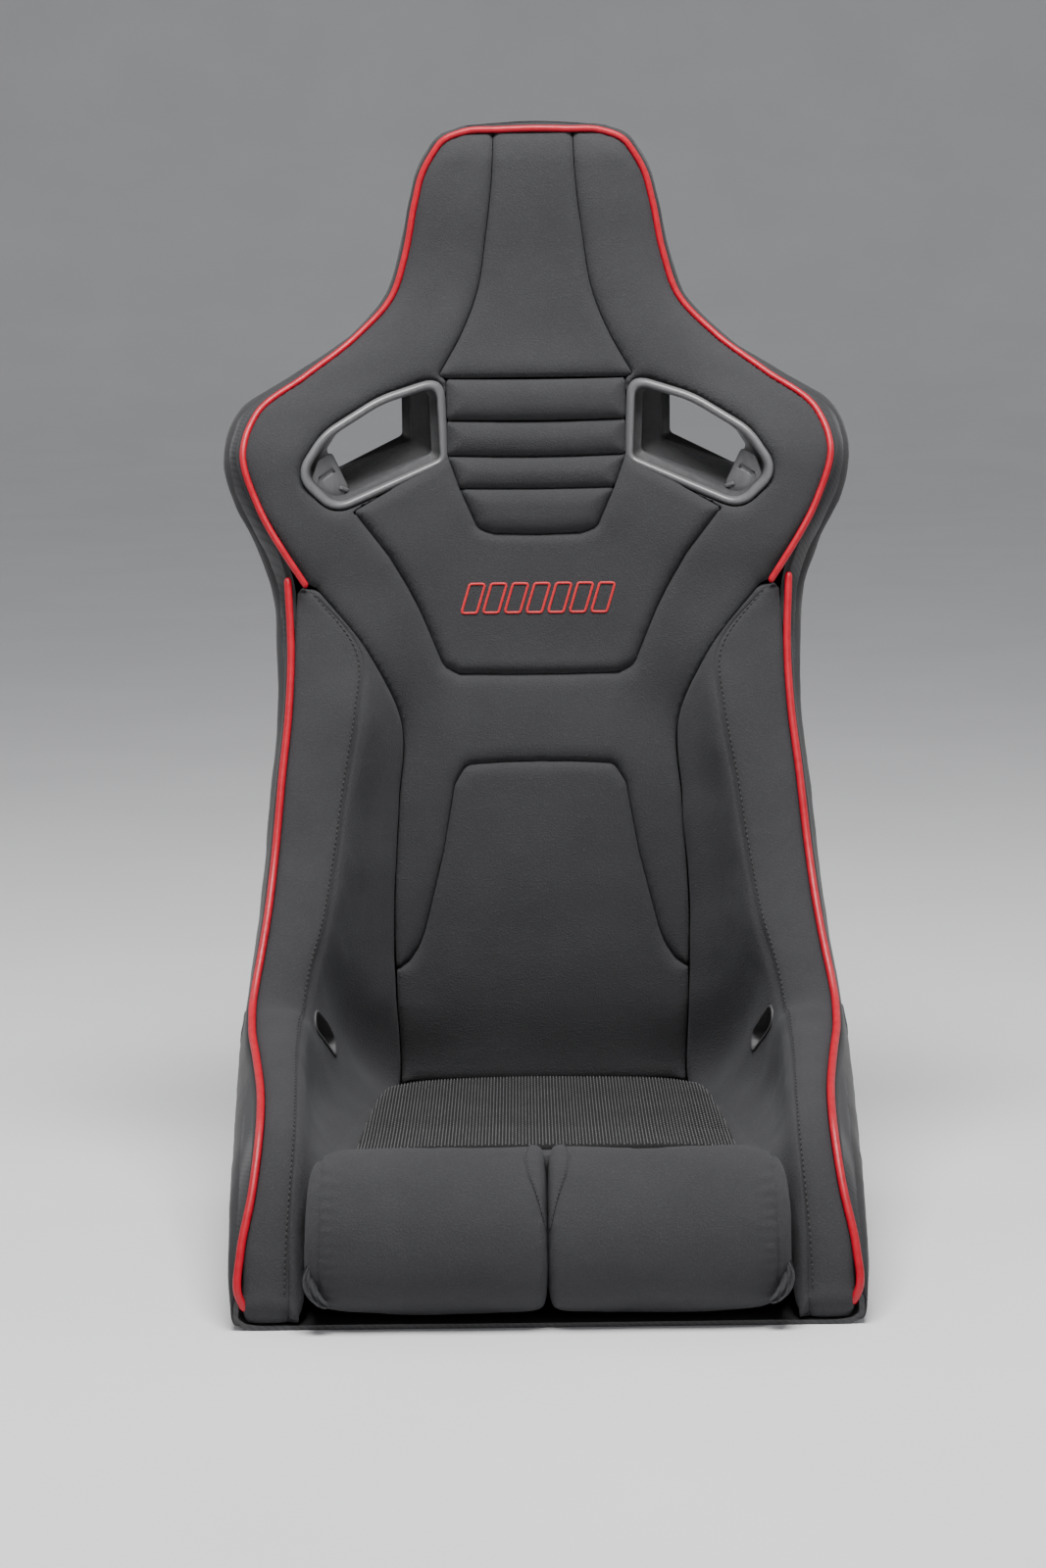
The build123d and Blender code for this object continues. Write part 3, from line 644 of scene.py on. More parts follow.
def rounded(corners, radius, closed=True, steps=5):
    """A polygon with rounded corners. The radius is one number, or one for each corner."""
    corners = [np.array(c, float) for c in corners]
    radii = radius if isinstance(radius, (list, tuple)) else [radius] * len(corners)
    made = []
    for i, c in enumerate(corners):
        if not closed and i in (0, len(corners) - 1):
            made.append(c)
            continue
        a, b = corners[i - 1] - c, corners[(i + 1) % len(corners)] - c
        la, lb = np.linalg.norm(a), np.linalg.norm(b)
        a, b = a / la, b / lb
        half = math.acos(np.clip(a @ b, -1, 1)) / 2
        if radii[i] < 0.01 or half > 1.55:
            made.append(c)
            continue
        back = min(radii[i] / math.tan(half), 0.45 * la, 0.45 * lb)
        start, end = c + a * back, c + b * back
        for s in range(steps + 1):
            t = s / steps
            made.append((1 - t) ** 2 * start + 2 * t * (1 - t) * c + t * t * end)
    return np.array(made)


def resample(points, spacing):
    """Even points along a polyline, ends kept."""
    points = np.asarray(points, float)
    run = np.concatenate([[0], np.cumsum(np.linalg.norm(np.diff(points, axis=0), axis=1))])
    even = np.linspace(0, run[-1], max(int(run[-1] / spacing), 1) + 1)
    return np.stack([np.interp(even, run, points[:, k]) for k in range(points.shape[1])], 1)


HAIR = 0.35      # each panel's outline stops this far (mm) short of its seam
PIPING_R = 3.2
WELT_END = [(0.2085, 0.1862, 0.5585), (0.2165, 0.1868, 0.571), (0.2265, 0.1885, 0.5865)]
upper_line = [np.array(p) for p in WELT_END] + [
    spot(r, r[EDGE] - PIPING_R - 0.6, rim_height(r) - PIPING_R) for r in SHOULDER[2:]]
upper_xz = [(p[0] / MM, p[2] / MM) for p in smooth_path(upper_line, 0.006)]
side_seam = [spot(r, *r[SEAM]) / MM for r in stations_between([THIGH[-1]] + BACK, 8)]
side_xz = [(p[0], p[2]) for p in side_seam if p[2] > 106 and p[0] < 200.5]

HEAD_SEAM = [(36, 962), (38, 917), (44, 865), (53, 812), (67, 777), (88, 740)]
RIB_UP = [737, 699.5, 668, 639, 597]
RIB_HALF = [(81.5, 81), (81, 80.5), (80.5, 70)]
SLOT = [(84, 739), (81, 661), (183, 619), (216, 655), (191, 692), (141, 722)]
SLOT_RADII = [16, 13, 26, 24, 60, 110]

head_curve = smooth_path(HEAD_SEAM, 5)
yoke_side = [(164, 621.5), (150, 603), (133, 580), (117, 552), (106.5, 531), (97, 508)]
yoke_low = rounded([(97, 508), (86, 480), (72, 472.5), (30, 471.5), (0, 471.5)], [0, 13, 6, 0, 0], closed=False)
yoke_half = yoke_side + [tuple(p) for p in yoke_low[1:]]
rib_tail = rounded([(80.5, 668), (70, 639), (54, 603), (40, 598), (0, 597)], [0, 6, 8, 4, 0], closed=False)
lumbar_side = rounded([(30, 394.2), (67, 392), (78, 374), (89, 312), (106.5, 242)], [0, 11, 14, 30, 0], closed=False)
lumbar_half = ([(0, 394.5)] + [tuple(p) for p in lumbar_side] + [(112, 228), (120, 216), (131, 208)])


def slot_outline(grow):
    """The harness slot's rounded outline, grown or shrunk square to its sides, as (across, up) in mm."""
    pts = np.array(SLOT, float)
    moved = []
    for i in range(len(pts)):
        a, b, c = pts[i - 1], pts[i], pts[(i + 1) % len(pts)]
        n1 = np.array(((b - a)[1], -(b - a)[0])) / np.linalg.norm(b - a)
        n2 = np.array(((c - b)[1], -(c - b)[0])) / np.linalg.norm(c - b)
        n = n1 + n2
        moved.append(b + n / (n @ n) * 2 * grow)
    return rounded(moved, [max(r + grow, 1.5) for r in SLOT_RADII], steps=8)


# seams shared by neighbouring panels
head_half = [tuple(p) for p in head_curve]
centre_stack = [(0, 961)] + head_half + [(81.5, 737), (81, 699.5), (80.5, 668), (84, 665)] + yoke_half
holes = [mirrored(centre_stack), slot_outline(1.5), slot_outline(1.5) * (-1, 1)]


def grown(loop, amount):
    """A closed outline moved square to itself; a positive amount makes it larger."""
    pts = np.asarray(loop, float)
    area = 0.5 * np.sum(pts[:, 0] * np.roll(pts[:, 1], -1) - np.roll(pts[:, 0], -1) * pts[:, 1])
    a, c = np.roll(pts, 1, 0), np.roll(pts, -1, 0)
    n1 = unit(np.stack([(pts - a)[:, 1], -(pts - a)[:, 0]], 1))
    n2 = unit(np.stack([(c - pts)[:, 1], -(c - pts)[:, 0]], 1))
    n = unit(n1 + n2)
    return pts + n * amount * (1 if area > 0 else -1)


side_low = sorted([p for p in side_xz if p[1] < 207], key=lambda p: -p[1])
side_high = [p for p in reversed(side_xz) if p[1] > 209]
panels = {
    "surround_cover": [(0, 960.5), (30, 960.2)] + upper_xz[::-1] + side_high + [(131, 208.5)] + lumbar_half[-2::-1],
    "head_centre_cover": [(0, 960.5)] + head_half + [(81.5, 737.5), (0, 737.5)],
    "yoke_cover": [(0, 597)] + [tuple(p) for p in rib_tail[::-1]][1:] + [(84, 665)] + yoke_half,
    "lumbar_cover": lumbar_half + side_low + [(side_low[-1][0], 101), (0, 101)],
}
panels = {name: [grown(mirrored(half), -HAIR)] for name, half in panels.items()}
panels["surround_cover"] += [grown(h, HAIR) for h in holes]
# crown, width of the rounding beside a seam, depth of the seam, and the CAD nodes that the cover stands for
STUFFING = {
    "surround_cover": (3.0, 15, 2.6, ["back_surround_pad", "shoulder_pad_left", "shoulder_pad_right"]),
    "head_centre_cover": (2.6, 15, 2.4, ["head_center_pad"]),
    "yoke_cover": (4.4, 11, 2.6, ["yoke_pad"]),
    "lumbar_cover": (3.2, 13, 2.8, ["lumbar_pad"]),
}
for name, (crown, width, tuck, replaced) in STUFFING.items():
    back_panel(name, panels[name], crown, width, tuck, replaced)
for i, (top, bottom) in enumerate(zip(RIB_UP, RIB_UP[1:])):
    if i < 3:
        loop = mirrored([(0, top), (RIB_HALF[i][0], top), (RIB_HALF[i][1], bottom), (0, bottom)])
    else:
        loop = mirrored([(0, top)] + [tuple(p) for p in rib_tail if p[1] < 639.5])
    dense = resample(np.vstack([loop, loop[:1]]), 4)[:-1]
    sag = 1.6 * np.cos(np.clip(dense[:, 0] / 82, -1, 1) * math.pi / 2)
    dense[:, 1] -= sag * (1.0 if 0 < i < 3 else 0.6)
    outline = grown(dense, -HAIR)
    back_panel(f"rib_cover_{i + 1}", [outline], 6.2, 17, 3.2, [f"rib_pad_{i + 1}"], pitch=2.4, wrinkle=0.25)


# ---- side bolsters --------------------------------------------------------------------------
FACE_COLUMNS, TOP_COLUMNS = 34, 22
NOSE_ROWS = 7


def bolster_grid():
    """The right bolster as a sheet of rows, from its foot to the piping, and the distance along each row (mm)."""
    grid = []
    for row in stations_between(THIGH + BACK, 4.5):
        end = np.array((row[EDGE] - 5.5, rim_height(row) - 4.5))
        crest = 0.5 * (row[STITCH] + end) + (0, 3)
        face = profile_row(row, [row[SEAM], row[FACE], row[STITCH]], FACE_COLUMNS)
        top = profile_row(row, [row[STITCH], crest, end], TOP_COLUMNS)
        grid.append([spot(row, *p) for p in np.vstack([face, top[1:]])])
    grid = np.array(grid)
    steps = np.linalg.norm(np.diff(grid, axis=1), axis=2) / MM
    return grid, np.concatenate([np.zeros((len(grid), 1)), np.cumsum(steps, 1)], 1)


def make_bolster_cover(side):
    grid, run = bolster_grid()
    stitch_at, end_at = run[:, FACE_COLUMNS - 1, None], run[:, -1, None]
    normal = grid_normals(grid)
    if normal[len(grid) // 2, 10] @ np.array((-1, -1, 0)) < 0:
        normal = -normal
    from_stitch = run - stitch_at
    face_d = np.minimum(run, -from_stitch)
    top_d = np.minimum(from_stitch, end_at - run)
    face_w = np.clip(0.5 * stitch_at, 1.0, 14)
    top_w = np.clip(0.5 * (end_at - stitch_at), 1.0, 12)
    lift = np.where(from_stitch <= 0,
                    puff(np.maximum(face_d, 0), 2.4 * face_w / 14, face_w, np.minimum(2.6, face_w * 0.2)),
                    puff(np.maximum(top_d, 0), 3.2, top_w, 2.0))
    soft = ripple(grid, 0.05, 1.4, side * 1.3) + ripple(grid, 0.02, 0.5, side * 2.1)
    fade = np.clip(np.minimum(np.abs(from_stitch), end_at - run) / 10, 0, 1)
    front = grid + normal * ((lift + soft * fade) * MM)[..., None]
    back = grid - normal * (COVER * MM)
    front[-1] = 0.5 * (front[-1] + back[-1])
    nose, nose_back = [], []
    for k in range(NOSE_ROWS, 0, -1):
        t = k / NOSE_ROWS
        fall = front[0].copy()
        fall[:, 2] = front[0][:, 2] * (1 - t) + 0.0055 * t
        fall[:, 1] = front[0][:, 1] - 0.0035 * math.sin(math.pi * min(t * 1.1, 1)) + 0.004 * t * t
        centre = fall[:, 0].mean()
        fall[:, 0] = centre + (fall[:, 0] - centre) * (1 - 0.06 * t * t)
        nose.append(fall)
        nose_back.append(fall + np.array((0, 0.006, 0)))
    front = np.concatenate([nose, front])
    back = np.concatenate([nose_back, back])
    flip = np.array((side, 1, 1))
    verts, faces = closed_grid(front * flip, back * flip)
    name = SIDES[side]
    obj = add_object(f"bolster_cover_{name}", verts, faces, fabric)
    fit(obj, SEAT, [f"side_bolster_{name}"])
    # top stitching, one row just outside the seam
    column = FACE_COLUMNS + 1
    lifted = front[NOSE_ROWS:, column] + normal[:, column] * (0.5 * MM)
    stitches = stitch_row(lifted * flip, 5.0, 3.0, 0.6)
    fit(add_object(f"bolster_stitches_{name}", *stitches, black_thread), SEAT)


def stitch_row(path, pitch, length, radius, sides=6):
    """Single stitches along a line, each a short arched thread (sizes in mm)."""
    fine = smooth_path(path, pitch * MM / 6)
    run = np.concatenate([[0], np.cumsum(np.linalg.norm(np.diff(fine, axis=0), axis=1))])
    parts = []
    for start in np.arange(0.5 * pitch * MM, run[-1] - pitch * MM, pitch * MM):
        at = start + np.array((0, 0.3, 0.7, 1.0)) * length * MM
        points = np.stack([np.interp(at, run, fine[:, k]) for k in range(3)], 1)
        points[1:3, 1] -= 0.25 * MM
        points[(0, 3), 1] += 0.5 * MM
        parts.append(tube(points, radius * MM, sides))
    return joined(parts)


for side in SIDES:
    make_bolster_cover(side)


# ---- piping ---------------------------------------------------------------------------------
def add_piping(name, path, radius):
    welt = tube(smooth_path(path, 0.0035), radius * MM, 14)
    fit(add_object(f"{name}_welt", *welt, piping_red), SEAT, replaced=[name])


over_head = [np.array((x, 0.301, z)) for x, z in ((0.032, 0.9596), (0, 0.9603), (-0.032, 0.9596))]
add_piping("piping_upper", upper_line + over_head + [p * (-1, 1, 1) for p in upper_line[::-1]], PIPING_R - 0.2)
for side, name in SIDES.items():
    line = [spot(r, side * (r[EDGE] - PIPING_R + 0.5), rim_height(r) - PIPING_R) for r in THIGH + BACK[:-1]]
    line.append(np.array((side * 0.2243, 0.1935, 0.561)))
    line[0] = line[0] + np.array((0, -0.0035, 0))
    line[1] = line[1] + np.array((0, -0.002, 0))
    line.insert(0, line[0] + np.array((-side * 0.004, 0.003, -0.011)))
    add_piping(f"piping_lower_{name}", line, PIPING_R + 0.2)


# ---- fabric wrap round the shell's edge ------------------------------------------------------
def wrap_profile(row):
    """From under the piping, over the shell's edge and down its outside, as (across, high)."""
    height = rim_height(row)
    top = height - min(9.5, 0.35 * height)
    wide, edge, corner, foot = row[WIDE], row[EDGE], row[CORNER_H], row[CORNER_X]
    return [(edge - 4.0, height - 5.5), (edge + 0.8, height - 3.4), (edge + 2.2, top - 1.0),
            (wide - 0.25 * (wide - edge) + 1.6, corner + 0.8 * (top - corner)),
            (wide + 1.5, corner + 0.45 * (top - corner)), (wide + 1.4, corner + 0.1 * (top - corner)),
            (wide + 1.6 - 0.13 * foot, 0.5 * corner), (wide - 1.2 - 0.16 * foot, 0.45 * corner)]


def make_wrap():
    rows = []
    for row in stations_between(THIGH + BACK + SHOULDER[1:], 6):
        rows.append([spot(row, *p) for p in profile_row(row, wrap_profile(row), 18)])
    right_side = np.array(rows)
    left_side = right_side[::-1] * np.array((-1, 1, 1))
    last = right_side[-1]
    bridge = []
    for t in np.linspace(0, 1, 22)[1:-1]:
        across = last * np.array((1 - 2 * t, 1, 1))
        rise = 4 * t * (1 - t)
        across = across + np.array((0, 0, 0.003 * rise))
        bridge.append(across)
    grid = np.concatenate([right_side, np.array(bridge), left_side])
    normal = grid_normals(grid)
    probe = len(right_side) // 2
    if normal[probe, 9][0] < 0:
        normal = -normal
    soft = ripple(grid, 0.028, 0.9) + ripple(grid, 0.011, 0.35)
    fade = np.sin(np.linspace(0, math.pi, grid.shape[1]))[None, :]
    front = grid + normal * (soft * fade * MM)[..., None]
    back = grid - normal * (1.2 * MM)
    fit(add_object("edge_wrap", *closed_grid(front, back), wrap_fabric), SEAT)


make_wrap()


# ---- shoulder-harness bezels ----------------------------------------------------------------
def bezel_depth(x):
    """Forward distance (mm) of the bezel's face at a distance across."""
    return -253 + (abs(x) - 86) * 55 / 127


def loop_points(outline, forward):
    """Metres for an outline (across, up) and a forward distance, one number or one for each point."""
    forward = np.broadcast_to(np.asarray(forward, float), (len(outline),))
    return np.stack([outline[:, 0], -forward, outline[:, 1]], 1) * MM


HOLE = [(123, 727), (123, 684), (184, 654), (193, 671), (184, 685), (150, 713)]


def even_loop(corners, radius, count, start):
    """A rounded outline as a fixed number of points, the first one nearest to the given angle from its middle."""
    loop = rounded(corners, radius, steps=5)
    closed = np.vstack([loop, loop[:1]])
    run = np.concatenate([[0], np.cumsum(np.linalg.norm(np.diff(closed, axis=0), axis=1))])
    even = np.linspace(0, run[-1], count, endpoint=False)
    points = np.stack([np.interp(even, run, closed[:, k]) for k in (0, 1)], 1)
    away = points - points.mean(0)
    first = int(np.argmax(away @ np.array((math.cos(start), math.sin(start)))))
    points = np.roll(points, -first, 0)
    area = np.sum(points[:, 0] * np.roll(points[:, 1], -1) - np.roll(points[:, 0], -1) * points[:, 1])
    return points if area > 0 else np.roll(points[::-1], 1, 0)


def make_bezel(side):
    name = SIDES[side]
    # section of the rim, as (inwards from the outline, proud of the face)
    rim_section = [(-1.5, -4.0), (-1.2, -0.5), (-0.6, 1.3), (0.5, 2.9), (2.1, 3.8), (3.7, 3.8), (5.2, 2.7),
                   (6.1, 1.0), (6.5, -1.5), (6.6, -6)]
    loops = []
    for inward, proud in rim_section:
        line = slot_outline(-inward)
        loops.append(loop_points(line, bezel_depth(line[:, 0]) + proud))
    inner = slot_outline(-rim_section[-1][0])
    hole = grown(rounded(HOLE, 6, steps=8), 0)
    deep = -302.0
    face = bezel_depth(inner[:, 0])
    steps = [(0.10, 0.02), (0.13, 0.20), (0.15, 0.22), (0.40, 0.25), (0.44, 0.27), (0.50, 0.70), (0.53, 0.73),
             (0.84, 0.76), (0.90, 0.80), (1.0, 1.0)]
    for depth_share, in_share in steps:
        # the inner end steps in; the floor and outer end run straight to the opening
        line = inner + (hole - inner) * in_share
        straight = inner + (hole - inner) * depth_share
        medial = np.clip((112 - inner[:, 0]) / 18, 0, 1)[:, None]
        line = straight * (1 - medial) + line * medial
        loops.append(loop_points(line, (face - 6) + (deep - face + 6) * depth_share))
    outside = slot_outline(-1)
    loops.append(loop_points(grown(hole, 1.5), deep - 0.5))
    loops.append(loop_points(outside, deep + 2))
    loops.append(loop_points(outside, bezel_depth(outside[:, 0]) - 8))
    verts, faces = loft_loops(loops + [loops[0]])
    obj = add_object(f"bezel_{name}", verts * np.array((side, 1, 1)), faces, bezel_plastic)
    obj.data.materials.append(tunnel_plastic)
    centres = [poly.center / MM for poly in obj.data.polygons]
    slots = [int(-c.y < bezel_depth(c.x) - 7.5) for c in centres]
    obj.data.polygons.foreach_set("material_index", slots)
    fit(obj, SEAT, replaced=[f"bezel_front_{name}"])


# plate at the outer end of the slot: its outline, a slanted recess and a small tab, as (across, up) in mm
PLATE = [(184.8, 674), (196.5, 667), (202, 651), (194, 633), (175.7, 633), (170.5, 641)]
RECESS_AT, RECESS_SIZE, RECESS_LEAN = (188.7, 653.8), (14.0, 4.6), -32.0
TAB = [(171.0, 636.5), (178.5, 640.2), (177.2, 643.4), (169.6, 639.8)]


def plate_point(x, z, sunk):
    """Metres for a point of the plate, which leans back towards the opening."""
    return (x * MM, -(bezel_depth(x) - 9.0 - 0.45 * (202 - x) - sunk) * MM, z * MM)


def slanted(at, size, lean, grow=0.0):
    """Corners of a rectangle round a point, turned by an angle in degrees."""
    c, s = math.cos(math.radians(lean)), math.sin(math.radians(lean))
    a, b = 0.5 * size[0] + grow, 0.5 * size[1] + grow
    return [(at[0] + x * c - y * s, at[1] + x * s + y * c) for x, y in ((-a, -b), (a, -b), (a, b), (-a, b))]


def make_slot_plate(side):
    lean = math.radians(RECESS_LEAN)
    outline = even_loop(PLATE, 4.0, 60, lean)
    recess = even_loop(slanted(RECESS_AT, RECESS_SIZE, RECESS_LEAN), 1.2, 60, lean)
    tab = even_loop(TAB, 0.9, 24, 0.0)
    plate_section = [(outline, 6.0), (outline, 0.8), (grown(outline, -0.8), 0.0), (grown(recess, 0.5), 0.0),
                     (recess, 0.5), (recess, 2.6)]
    tab_section = [(tab, 1.0), (tab, -1.4), (grown(tab, -0.5), -2.0)]
    forms = [capped([[plate_point(*q, sunk) for q in line] for line, sunk in section])
             for section in (plate_section, tab_section)]
    verts, faces = joined(forms)
    obj = add_object(f"slot_plate_{SIDES[side]}", verts * np.array((side, 1, 1)), faces, bezel_plastic)
    fit(obj, SEAT)


for side in SIDES:
    make_bezel(side)
    make_slot_plate(side)


# ---- lap-belt slots through the bolsters -----------------------------------------------------
LAP_AT, LAP_SIZE, LAP_LEAN, LAP_CORNER = (-52.0, 178.0), (56.0, 20.0), 40.0, 9.0
MOUNT_FORWARD, MOUNT_UP, MOUNT_CLEAR = 145.0, 75.0, 10.4


def lap_outline(grow):
    """The slot's outline, as (forward, up) in mm."""
    corners = slanted(LAP_AT, LAP_SIZE, LAP_LEAN, grow)
    return even_loop(corners, LAP_CORNER + grow, 56, math.radians(LAP_LEAN))


def lap_ring(outline, x):
    """Metres for an outline (forward, up) and a distance across, one number or one for each point."""
    x = np.broadcast_to(np.asarray(x, float), (len(outline),))
    return np.stack([x, -outline[:, 0] * MM, outline[:, 1] * MM], 1)


def surface_x(obj, outline, start, way):
    """Where lines along X from `start` first meet a piece, one distance across for each point."""
    tree = BVHTree.FromPolygons([v.co for v in obj.data.vertices], [p.vertices for p in obj.data.polygons])
    found = [tree.ray_cast(Vector((start, -f * MM, z * MM)), Vector((way, 0, 0)))[0] for f, z in outline]
    return np.array([hit.x for hit in found])


def cut_through(obj, outline, side):
    """Cuts an opening with the given outline, (forward, up) in mm, through one side of a piece."""
    verts, faces = loft_loops([lap_ring(outline, side * 0.12), lap_ring(outline, side * 0.32)])
    n = len(outline)
    faces += [tuple(range(n)), tuple(range(2 * n - 1, n - 1, -1))]
    bar = add_object("cutter", verts, faces, obj.data.materials[0])
    cut = obj.modifiers.new("cut", "BOOLEAN")
    cut.operation = "DIFFERENCE"
    cut.solver = "EXACT"
    cut.object = bar
    apply_modifiers(obj)
    bpy.data.objects.remove(bar)


def make_lap_slot(side):
    name = SIDES[side]
    cover, wrap = bpy.data.objects[f"bolster_cover_{name}"], bpy.data.objects["edge_wrap"]
    loops = []
    inside = [(1.6, 0.2), (0.9, -1.0), (-0.6, -1.3), (-1.6, 0.2)]
    for grow, sunk in inside:
        line = lap_outline(grow)
        loops.append(lap_ring(line, surface_x(cover, line, 0.0, side) + side * sunk * MM))
    for grow, sunk in reversed(inside):
        line = lap_outline(grow)
        loops.append(lap_ring(line, surface_x(wrap, line, side * 0.4, -side) - side * sunk * MM))
    for piece, start, way in ((wrap, side * 0.4, -side), (cover, 0.0, side)):
        line = lap_outline(-0.3)
        loops.append(lap_ring(line, surface_x(piece, line, start, way) + way * 2.5 * MM))
    verts, faces = loft_loops(loops + [loops[0]])
    sleeve = add_object(f"lap_slot_{name}", verts, faces, tunnel_plastic)
    fit(sleeve, SEAT)
    for piece in (cover, wrap):
        cut_through(piece, lap_outline(-0.4), side)
    # round openings that leave the side-mount inserts free
    angle = np.linspace(0, 2 * math.pi, 40, endpoint=False)
    for forward in (-MOUNT_FORWARD, MOUNT_FORWARD):
        circle = np.stack([forward + MOUNT_CLEAR * np.cos(angle), MOUNT_UP + MOUNT_CLEAR * np.sin(angle)], 1)
        cut_through(wrap, circle, side)


for side in SIDES:
    make_lap_slot(side)


# ---- base cushion ---------------------------------------------------------------------------
SIDE_OF = [(-174, 112), (-164, 136), (-145, 147), (-100, 159), (-50, 167), (50, 179), (150, 188), (200, 193.5)]
TOP_OF = [(-175, 90), (-171, 101), (-160, 107), (-60, 109.5), (60, 114.5), (150, 121), (184, 124), (205, 124.5)]
GRIP_HALF = [(-166, 146), (-100, 152), (0, 157), (100, 160), (152, 161)]
GRIP_BACK, GRIP_FRONT = GRIP_HALF[0][0], GRIP_HALF[-1][0]
DOT_PITCH_X, DOT_PITCH_F = 2.8, 9.0


def read_off(table, at):
    """The second number of a table's rows at a value of the first."""
    return np.interp(at, *np.transpose(table))


def cushion_half(forward):
    return read_off(SIDE_OF, forward)


def cushion_top(x, forward):
    """Height of the cushion's top (mm) before the seams draw it in."""
    centre = read_off(TOP_OF, forward)
    t = np.clip(np.abs(x) / cushion_half(forward), 0, 1)
    return centre + 3.0 * (1 - t**2) - 5.0 * t**6


def make_cushion_cover():
    forwards = np.concatenate([np.linspace(-173.5, -160, 8), np.linspace(-156, 188, 90)])
    rows = []
    for f in forwards:
        half = cushion_half(f) - 1.0
        top = np.linspace(-1, 1, 91)
        x = half * np.sign(top) * np.abs(top) ** 0.97
        z = cushion_top(x, f)
        edge = np.clip((1 - np.abs(top)) * half / 13, 0, 1)
        z = z - 13 * (1 - np.sqrt(1 - (1 - edge) ** 2))
        inside = read_off(GRIP_HALF, f)
        away = np.minimum(inside - np.abs(x), np.minimum(f - GRIP_BACK, GRIP_FRONT - f))
        z = z - 3.2 * np.clip(away / 2.5 + 1, 0, 1)
        strip = np.clip((np.abs(x) - inside) / 12, 0, 1)
        z = z + 3.0 * np.sqrt(1 - (1 - strip) ** 2) * (away < 0)
        low = 9.0 + 24.0 * np.clip((-95 - f) / 50, 0, 1)
        right = [(half + math.sin(s * math.pi), low + (z[-1] - low) * s) for s in (0.75, 0.5, 0.25)]
        bottom = [(half - 4, low), (0, low), (-half + 4, low)]
        ring = list(zip(x, z)) + right + bottom + [(-a, b) for a, b in reversed(right)]
        rows.append([(a * MM, -f * MM, b * MM) for a, b in ring])
    verts, faces = capped(rows)
    soft = ripple(verts, 0.05, 0.8) + ripple(verts, 0.018, 0.3)
    verts[:, 2] += soft * MM * (verts[:, 2] > 0.06)
    obj = add_object("cushion_cover", verts, faces, fabric)
    fit(obj, BASE, ["seat_cushion"])


make_cushion_cover()


def grip_points(p, d):
    """Metres for points (across, forward) of the grip panel, at distances d (mm) inside its seam."""
    height = cushion_top(p[:, 0], p[:, 1]) + puff(np.maximum(d, 0), 1.6, 12, 3.0)
    points = np.stack([p[:, 0], -p[:, 1], height], 1) * MM
    points[:, 2] += ripple(points, 0.05, 0.6) * MM * np.clip(d / 10, 0, 1)
    return points


def make_grip_panel():
    """The panel that the seam round it holds down, and its raised oval dots in staggered columns."""
    outline = [(x, f) for f, x in reversed(GRIP_HALF)] + [(-x, f) for f, x in GRIP_HALF]
    outline = rounded(outline, [5, 0, 0, 0, 10, 10, 0, 0, 0, 5])
    p, faces, d = lattice([outline], 4.0)
    front = grip_points(p, d)
    grip = add_object("grip_panel", *thickened(front, front - (0, 0, 0.003), faces), grip_ground)
    fit(grip, BASE)
    spots = []
    for i, x in enumerate(np.arange(-156.8, 156.9, DOT_PITCH_X)):
        for f in np.arange(-160, 146, DOT_PITCH_F) + 0.5 * DOT_PITCH_F * (i % 2):
            if abs(x) < read_off(GRIP_HALF, f) - 3.0:
                spots.append((x, f))
    spots = np.array(spots)
    inside, _ = to_outline(spots, [outline])
    angle = np.linspace(0, 2 * math.pi, 6, endpoint=False)
    ring = np.stack([np.cos(angle), np.sin(angle), np.ones(6)], 1)
    foot, crown = ring * (0.85, 2.5, -0.2) * MM, ring * (0.5, 1.7, 0.9) * MM
    _, sides = loft_loops([foot, crown])
    faces = sides + [tuple(range(6, 12)), tuple(range(5, -1, -1))]
    dots = add_object("grip_dots", *joined([(np.vstack([c + foot, c + crown]), faces)
                                            for c in grip_points(spots, inside)]), grip_dots)
    fit(dots, BASE)


make_grip_panel()


# ---- front rolls ----------------------------------------------------------------------------
ROLL = [(171, 118), (180, 132), (198, 136.5), (228, 127), (254, 103), (267, 71), (265, 42), (254, 20), (232, 10.5),
        (185, 10), (174, 30), (170, 80)]
ROLL_ENDS = [(1.6, 0.86), (2.4, 0.945), (5, 0.985), (12, 1.0)], [
    (165, 0.992), (173, 0.972), (180, 0.94), (186.5, 0.885), (191, 0.81), (194, 0.71), (195, 0.6)]
VOXEL, PRESSURE, FARTHEST = 0.005, 4.0, 0.006


def roll_mesh(side):
    """The starting form of a front roll, a little slack, as a closed loft."""
    ring = smooth_path(ROLL + ROLL[:1], 7.0)[:-1]
    middle = ring.mean(0)
    rows = []
    for x, shrink in ROLL_ENDS[0] + [(v, 1.0) for v in np.linspace(24, 158, 22)] + ROLL_ENDS[1]:
        loop = middle + (ring - middle) * shrink
        rows.append(np.stack([np.full(len(loop), side * x), -loop[:, 0], loop[:, 1]], 1) * MM)
    return capped(rows)


